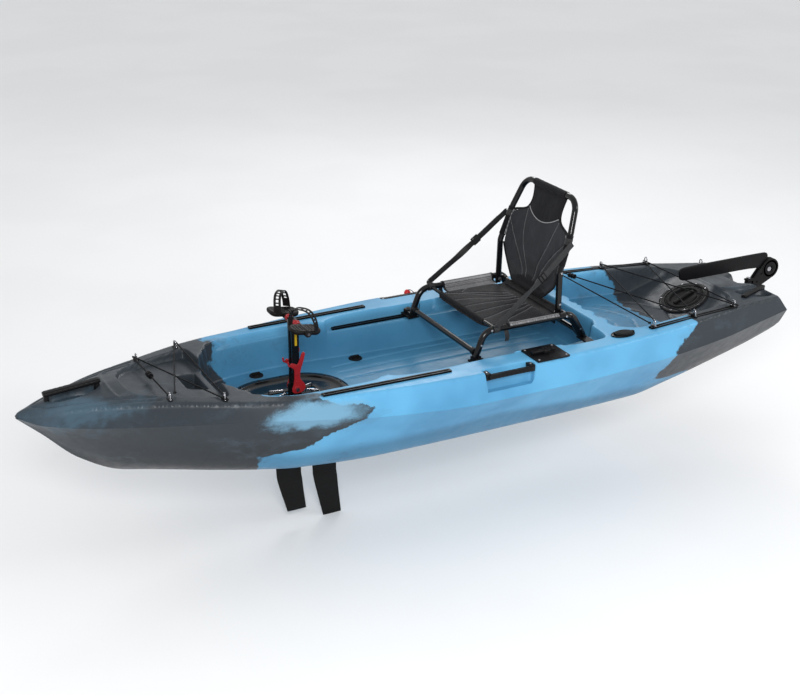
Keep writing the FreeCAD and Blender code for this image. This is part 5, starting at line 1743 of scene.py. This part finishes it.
def seat_back():
    """Padded back with its stitching, piping and bound edges."""
    back = stuffed(back_panel(), 5.0, 7, 3.2,
                   lambda p: np.abs(p[:, 1]) > np.interp(p[:, 2],
                                                         [452, 520, 600, 716, 733, 742, 752, 770, 795, 846],
                                                         [98, 166, 192, 190, 176, 148, 118, 98, 94, 102]))
    on_back = [laid_on(back, curve_points(seam, 12), (-1, 0, 0), 0) for seam in BACK_SEAMS]
    creased(back, on_back, 6.0, 2.2)
    shade(back)
    stitching("back_stitching", back, BACK_SEAMS, (-1, 0, 0), "seat_back")
    arc = [(-470, y, 732 + 0.0031 * y * y) for y in np.linspace(-104, 104, 19)]
    piping = Shape().add(sweep(laid_on(back, curve_points(arc, 5), (-1, 0, 0), 0.6), oval(1.9, 1.6, 8),
                               up=(1, 0, 0)))
    show(piping.object("back_piping", None), PIPING, "seat_back", "seat_fabric")
    binding = Shape()
    for _, s in SIDES:
        for edge in (((205, 719), (188, 735), (150, 743), (121, 753), (107, 770), (101, 795), (105, 824),
                      (112, 850)), ((104, 454), (140, 484), (176, 520), (192, 562), (200, 596))):
            binding.add(sweep(curve_points([(back_face(y, z), s * y, z) for y, z in edge], 6),
                              rounded_box(9.5, 7, 2.8, 4), up=(1, 0, 0.2)))
    show(binding.object("back_binding", None), BLACK_CLOTH, "seat_back", "seat_fabric")
    show(back, CLOTH, "seat_back", "seat_fabric", "seat_back_fabric")


seat_back()


def frame_tube(t0, t1, count):
    """Stretch of the back tube's middle line: port side from 0, over the top, to starboard at 1."""
    side = [(-450, 225, 414), (-452, 221, 600), (-500, 211, 742), (-542, 179, 862)]
    line = fillet(side + [(x, -y, z) for x, y, z in reversed(side)], 62, 12)
    return points_at(line, np.linspace(t0, t1, count) * distances(line)[-1])


def sleeve(name, line, radius, body, web=None, web_material=BLACK_CLOTH):
    """Cloth sewn round a tube, slightly puckered, with an optional web to the panel it holds."""
    rings = []
    t = np.gradient(line, axis=0)
    t /= np.linalg.norm(t, axis=1)[:, None]
    for i, (p, tangent) in enumerate(zip(line, t)):
        u = np.cross(tangent, (0, 0, 1) if abs(tangent[2]) < 0.8 else (1, 0, 0))
        u /= np.linalg.norm(u)
        v = np.cross(tangent, u)
        pucker = 0.35 * sin(i * 1.9) + 0.25 * sin(i * 0.83)
        rings.append([p + (u * cos(a) + v * sin(a)) * (radius + pucker * cos(a * 3 + i * 0.4))
                      for a in turns(20)])
    if web:
        show(Shape().add(skin(web)).object(name + "_web", 60), web_material, body, "seat_fabric")
    return show(Shape().add(skin(rings)).object(name, 60), BLACK_CLOTH, body, "seat_fabric")


def back_sleeve(name, s):
    """Sleeve round one side of the back's tube, and the mesh web to the panel."""
    line = frame_tube(0.165, 0.315, 34) * (1, s, 1)
    line = line[line[:, 2] < 736]
    web = []
    for p in line[1:-1]:
        x, half = back_at(p[2])
        inner, outer = np.array((x, s * (half - 6), p[2])), p + (0, -s * 10, 0)
        web.append([inner + (2.4, 0, 0), outer + (2.4, 0, 0), outer - (2.4, 0, 0), inner - (2.4, 0, 0)])
    sleeve("back_sleeve_" + name, line, 13.8, "seat_back", web, MESH_CLOTH)


for name, s in SIDES:
    back_sleeve(name, s)


def back_top_sleeve():
    """Sleeve round the top of the back's tube."""
    top_line = np.array([(-542, y, 862) for y in np.linspace(-112, 112, 30)])
    top_web = [[(-535, y, 842), (-530, y, 866), (-533, y, 866), (-538, y, 842)]
               for y in np.linspace(-110, 110, 16)]
    sleeve("back_top_sleeve", top_line, 14.2, "seat_back", top_web)


back_top_sleeve()


def grid_sheet(name, rows, material, body, thickness, slot, *nodes):
    """Sheet through rows of points, given its thickness."""
    n = len(rows[0])
    faces = [(r * n + i, r * n + i + 1, (r + 1) * n + i + 1, (r + 1) * n + i)
             for r in range(len(rows) - 1) for i in range(n - 1)]
    shape = Shape().add(([tuple(p) for row in rows for p in row], faces))
    obj = shape.object(name, None)
    shell = obj.modifiers.new("thickness", "SOLIDIFY")
    shell.thickness, shell.offset = thickness * MM, 0.0
    evaluated(obj)
    return show(shade(obj), material, body, slot, *nodes)


def pan_pad():
    """Seat pan: a sling pad, its front corners cut back round the frame's bends."""
    half = corner_cut([(-430, -196), (-418, -214), (-200, -214), (-166, -206), (-150, -176), (-136, -150),
                       (-134, 0), (-136, 150), (-150, 176), (-166, 206), (-200, 214), (-418, 214),
                       (-430, 196)], 0.22, 2)
    outline = resample(half, 14)
    rings = []
    for inset, z in ((20, 409.4), (8, 409.6), (0.5, 412), (0.5, 416), (8, 418.4), (20, 418.6)):
        rings.append([(x, y, z) for x, y in offset_ring(outline, -inset)])
    return Shape().add(skin(rings)).object("seat_pan_pad", None)


PAN_SEAMS = [[(-424, y0, 440), (-330, y0 * 1.6, 440), (-240, y1 * 0.85, 440), (x1, y1, 440)] for y0, y1,
             x1 in ((16, 40, -146), (-16, -40, -146), (40, 122, -146), (-40, -122, -146), (62, 196, -186),
                    (-62, -196, -186), (84, 206, -290), (-84, -206, -290))]


def seat_pan():
    """Sagging padded seat with its stitching."""
    pan = stuffed(pan_pad(), 5.0, 6, 3.6,
                  lambda p: (np.abs(p[:, 1]) > 205) | (p[:, 0] < -424) | (p[:, 0] > -141))
    co = coordinates(pan) / MM
    sag = (1 - np.clip(np.abs(co[:, 1]) / 214, 0,
                       1) ** 2) * smooth((co[:, 0] + 432) / 60) * smooth((-130 - co[:, 0]) / 60)
    co[:, 2] -= 7.5 * sag
    set_coordinates(pan, co * MM)
    on_pan = [laid_on(pan, curve_points(seam, 12), (0, 0, -1), 0) for seam in PAN_SEAMS]
    creased(pan, on_pan, 6.5, 2.0)
    shade(pan)
    stitching("pan_stitching", pan, PAN_SEAMS, (0, 0, -1), "seat")
    show(pan, CLOTH, "seat", "seat_fabric", "seat_base_fabric")


seat_pan()

sleeve("pan_front_sleeve", np.array([(-150, y, 430) for y in np.linspace(-170, 170, 40)]), 9.0, "seat",
       [[(-146, y, 414), (-141, y, 430), (-144, y, 431), (-152, y, 416)] for y in np.linspace(-168, 168, 12)])
sleeve("pan_rear_sleeve", np.array([(-490, y, 420) for y in np.linspace(-186, 186, 40)]), 9.0, "seat")


def pan_rear_web():
    """Cloth from the pan back to the rear cross tube."""
    rear_web = []
    for x in np.linspace(PAN_REAR, WEB_REAR, 12):
        t = (x - PAN_REAR) / (WEB_REAR - PAN_REAR)
        bow = sin(pi * t)
        rear_web.append([(x, y, 413.5 + 14 * t ** 2 - 7 * bow + 0.8 * sin(y / 17) * bow)
                         for y in np.linspace(-207, 207, 48)])
    web = grid_sheet("pan_rear_web", rear_web, BLACK_CLOTH, "seat", CLOTH_THICK, "seat_fabric")


pan_rear_web()


def side_mesh(name, s):
    """Mesh from the pan over a side tube, hemmed at both ends."""
    profile = [(208, 415.5), (222, 414.5), (236, 416), (243, 420), (243.5, 430), (246, 438), (251.5, 443),
               (258, 444.4), (265, 442), (270, 436)]
    profile = curve_points([(y, z) for y, z in profile], 3.0)
    rows = [[(x, s * y, z) for y, z in profile] for x in np.linspace(-434, -204, 28)]
    strip = grid_sheet("side_mesh_" + name, rows, MESH_CLOTH, "seat", MESH_THICK, "seat_fabric")
    hems = Shape()
    for x in (-434, -204):
        hems.add(sweep([(x, s * y, z) for y, z in profile], rounded_box(9, 2.6, 1.1), up=(0, -s * 0.3, 1)))
    show(hems.object("side_mesh_hems_" + name, None), BLACK_CLOTH, "seat", "seat_fabric")


for name, s in SIDES:
    side_mesh(name, s)


def rear_curtain():
    """Short cloth that hangs behind the pan."""
    curtain = [[(-463 - 3.0 * sin(y / 31) * (1 - t) - 2 * sin(pi * t), y, 372 + 46 * t)
                for y in np.linspace(-190, 190, 60)] for t in np.linspace(0, 1, 12)]
    curtain = grid_sheet("rear_curtain", curtain, BLACK_CLOTH, "seat", CLOTH_THICK, "seat_fabric",
                         "seat_rear_panel")


rear_curtain()

POCKET_LOW, POCKET_HIGH, POCKET_HALF = 486, 612, 158


def rear_pocket():
    """Pocket on the back of the seat, with piping along its top and a row of webbing loops."""
    pocket = []
    for z in np.linspace(POCKET_LOW, POCKET_HIGH, 22):
        t = (z - POCKET_LOW) / (POCKET_HIGH - POCKET_LOW)
        narrow = min(1.0, 0.80 + 0.25 * t)
        belly = sin(pi * min(1.0, t * 0.9))
        row = []
        for y in np.linspace(-POCKET_HALF, POCKET_HALF, 50):
            edge = 1 - (abs(y) / POCKET_HALF) ** 4
            x = back_at(z)[0] - 29 + 10 * (1 - edge) - 9 * edge * belly - 3 * t * edge
            row.append((x, y * narrow, z - 5 * t * edge))
        pocket.append(row)
    rim_line = [np.array(p) + (0, 0, 1.5) for p in pocket[-1]]
    belt_row = [np.array(p) + (-1.6, 0, 0) for p in pocket[14]]
    panel = grid_sheet("rear_pocket", pocket, BLACK_CLOTH, "seat_back", CLOTH_THICK, "seat_fabric")
    show(Shape().add(sweep(rim_line, oval(2.0, 2.0, 8), up=(1, 0, 0))).object("rear_pocket_piping", None),
         PIPING, "seat_back", "seat_fabric")
    loops = Shape().add(sweep(belt_row[4:-4], rounded_box(2.2, 24, 1.0), up=(0, 0, 1)))
    for k in range(8, len(belt_row) - 8, 5):
        p = belt_row[k]
        loops.add(sweep([p + (-1, 0, -13), p + (-3.4, 0, -10), p + (-3.8, 0, 0), p + (-3.4, 0, 10),
                         p + (-1, 0, 13)], rounded_box(7, 1.6, 0.7), up=(-1, 0, 0)))
    show(loops.object("rear_loop_webbing", 50), WEBBING, "seat_back", "webbing")


rear_pocket()


# ---------------------------------------------------------------- seat straps
STRAP = rounded_box(2.2, 25, 0.9)


def strap_ends(s):
    """Upper end on the back's tube and lower end on the side tube."""
    return np.array((-490, s * 240.0, 712)), np.array((-150, s * 271.0, 447))


def side_strap(name, s):
    """Strap from the seat's side tube up to the back's, sagging and part turned, doubled at its upper end."""
    high, low = strap_ends(s)
    share = np.linspace(0, 1, 61)
    sag = 5.0 * np.sin(np.pi * share)
    ripple = 1.0 * np.sin(share * 17) * np.sin(np.pi * share)
    path = [high + (low - high) * t + np.array((0, s * r, -d)) for t, d, r in zip(share, sag, ripple)]
    twist = 0.45 * np.exp(-((share - 0.56) / 0.07) ** 2) * s
    strap = Shape().add(sweep(path, STRAP, up=(0.61, 0, 0.79), twist=twist))
    over = [high + (low - high) * t + np.array((0, s * 2.6, -5 * sin(pi * t)))
            for t in np.linspace(0.10, 0.40, 16)]
    strap.add(sweep(over, rounded_box(2.0, 25, 0.9), up=(0.61, 0, 0.79)))
    strap = show(strap.object("side_strap_" + name, 50), WEBBING, None, "webbing", "seat_strap_" + name)
    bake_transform(strap)


def ladder_lock(name, s):
    """Buckle with three bars between two cheeks, on the strap."""
    high, low = strap_ends(s)
    lock = Shape()
    along = (low - high) / np.linalg.norm(low - high)
    flat = np.cross(along, (0, s, 0))
    at = high + (low - high) * 0.40 + np.array((0, s * 2.4, -5))
    for offset, radius in ((-14, 2.4), (0, 2.0), (14, 2.4)):
        bar_mid = at + along * offset
        lock.add(sweep([bar_mid - flat * 15.5, bar_mid + flat * 15.5], oval(radius, radius * 1.1, 10),
                       up=(0, s, 0)))
    for side in (-1, 1):
        edge = at + flat * 16 * side
        lock.add(sweep([edge - along * 17, edge - along * 15, edge + along * 15, edge + along * 17],
                      rounded_box(4.4, 5.6, 1.4), up=(0, s, 0), scale=[0.7, 1, 1, 0.7]))
    buckle = show(lock.object("ladder_lock_" + name), BLACK, None, "black_plastic",
                  *(["strap_buckles"] if s > 0 else []))
    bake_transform(buckle)


def loop_round(centre, axis, across, radius):
    """Webbing closed round a tube."""
    around = placed(centre, axis, across)
    steps = turns(30)
    return sweep([around @ Vector((radius * cos(a), radius * sin(a), 0)) for a in steps], STRAP,
                 up=tuple(axis), loop=True)


def strap_loops(name, s):
    """Loops that hold the strap's ends to the two tubes, and the loose tail below the lower one."""
    upper, lower = Shape(), Shape()
    ring_axis = Vector((-0.32, -s * 0.07, 0.945))
    upper.add(loop_round((-490, s * 213.5, 712), ring_axis, (1, 0, 0), 13.6))
    upper.add(sweep([(-484, s * 226, 708), (-485, s * 234, 709), (-490, s * 240.5, 711.5)], STRAP,
                    up=(0.3, 0, 0.95)))
    show(upper.object("strap_loop_upper_" + name, 50), WEBBING, "seat_back", "webbing")
    lower.add(loop_round((-150, s * 257, 430), (1, 0, 0), (0, 1, 0), 14.2))
    lower.add(sweep([(-150, s * 268, 440), (-150, s * 270.5, 444), (-152, s * 271, 450)], STRAP,
                    up=(1, 0, 0)))
    show(lower.object("strap_loop_lower_" + name, 50), WEBBING, "seat", "webbing")
    tail = curve_points([(-196, s * 258, 419), (-198, s * 262, 404), (-203, s * 261, 386),
                         (-201, s * 256, 372)], 4)
    loose = Shape().add(sweep(tail, rounded_box(1.8, 19, 0.8), up=(1, 0, 0.1)))
    show(loose.object("strap_tail_" + name, 50), WEBBING, "seat", "webbing")


def rear_leg_cuff(name, s):
    """Glossy sleeve over the bend of the rear leg, with one screw."""
    leg = fillet([(-400, s * 257, 430), (-488, s * 257, 430), (-548, s * 257, 331)], 55, 14)
    leg = curve_points([p for p in leg if p[0] < -462], 5)
    last = len(leg) - 1
    size = np.interp(np.arange(len(leg)), [0, 3, last - 3, last], [0.90, 1, 1, 0.92])
    cuff = Shape().add(sweep(leg, oval(17, 15.5, 20), up=(0, 1, 0), scale=size))
    cuff.add(dome_screw(5), placed((-488, s * 273, 424), (0, s, 0)))
    show(cuff.object("rear_leg_cuff_" + name, 45), GLOSS, "seat", "black_plastic")


for name, s in SIDES:
    side_strap(name, s)
    ladder_lock(name, s)
    strap_loops(name, s)
for name, s in SIDES:
    rear_leg_cuff(name, s)


# ---------------------------------------------------------------- stage
# name, place in metres, diameter in metres, watts
LAMPS = (("key", (2.4, 4.8, 3.2), 1.5, 190), ("rim", (-2.6, -4.2, 3.4), 1.6, 50),
         ("stern", (-4.0, 2.6, 2.6), 1.2, 60))
# azimuth, elevation and roll in degrees; the lens is in millimetres
CAMERA_PLACE, CAMERA_TURNS, CAMERA_LENS = (2.404, 4.421, 2.400), (152.7, 22.8, 0.31), 62.7


def stage_and_camera():
    """Pale floor and sky, three soft lamps, and the camera fitted to the photo's upper view."""
    floor_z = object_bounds()[0].z - 0.002
    bpy.ops.mesh.primitive_plane_add(size=60, location=(0, 0, floor_z))
    floor = bpy.context.object
    floor.name = "floor"
    n = Nodes("pale_floor")
    tint = n.mix(n.step(n.noise(0.8, 3), 0.4, 0.6), (0.86, 0.86, 0.86), (0.84, 0.84, 0.845))
    floor.data.materials.append(n.finish(colour=tint, rough=0.75))
    world = bpy.data.worlds.new("studio")
    world.use_nodes = True
    world.node_tree.nodes["Background"].inputs[0].default_value = (0.97, 0.985, 1.0, 1)
    world.node_tree.nodes["Background"].inputs[1].default_value = 0.80
    bpy.context.scene.world = world
    for name, place, size, power in LAMPS:
        lamp = bpy.data.lights.new(name, "AREA")
        lamp.shape = "DISK"
        lamp.size, lamp.energy = size, power
        obj = bpy.data.objects.new(name, lamp)
        bpy.context.scene.collection.objects.link(obj)
        obj.location = place
        obj.rotation_mode = "QUATERNION"
        obj.rotation_quaternion = (Vector((0, 0, 0.2)) - Vector(place)).to_track_quat("-Z", "Y")
    azimuth, elevation, roll = (radians(turn) for turn in CAMERA_TURNS)
    back = Vector((sin(azimuth) * cos(elevation), -cos(azimuth) * cos(elevation), sin(elevation)))
    camera = bpy.data.objects.new("camera", bpy.data.cameras.new("camera"))
    bpy.context.scene.collection.objects.link(camera)
    camera.data.sensor_width = 36.0
    camera.data.lens = CAMERA_LENS
    camera.location = CAMERA_PLACE
    camera.rotation_mode = "QUATERNION"
    camera.rotation_quaternion = (-back).to_track_quat("-Z", "Y") @ Quaternion((0, 0, 1), roll)
    bpy.context.scene.camera = camera
    bpy.context.scene.view_settings.view_transform = "Standard"


stage_and_camera()
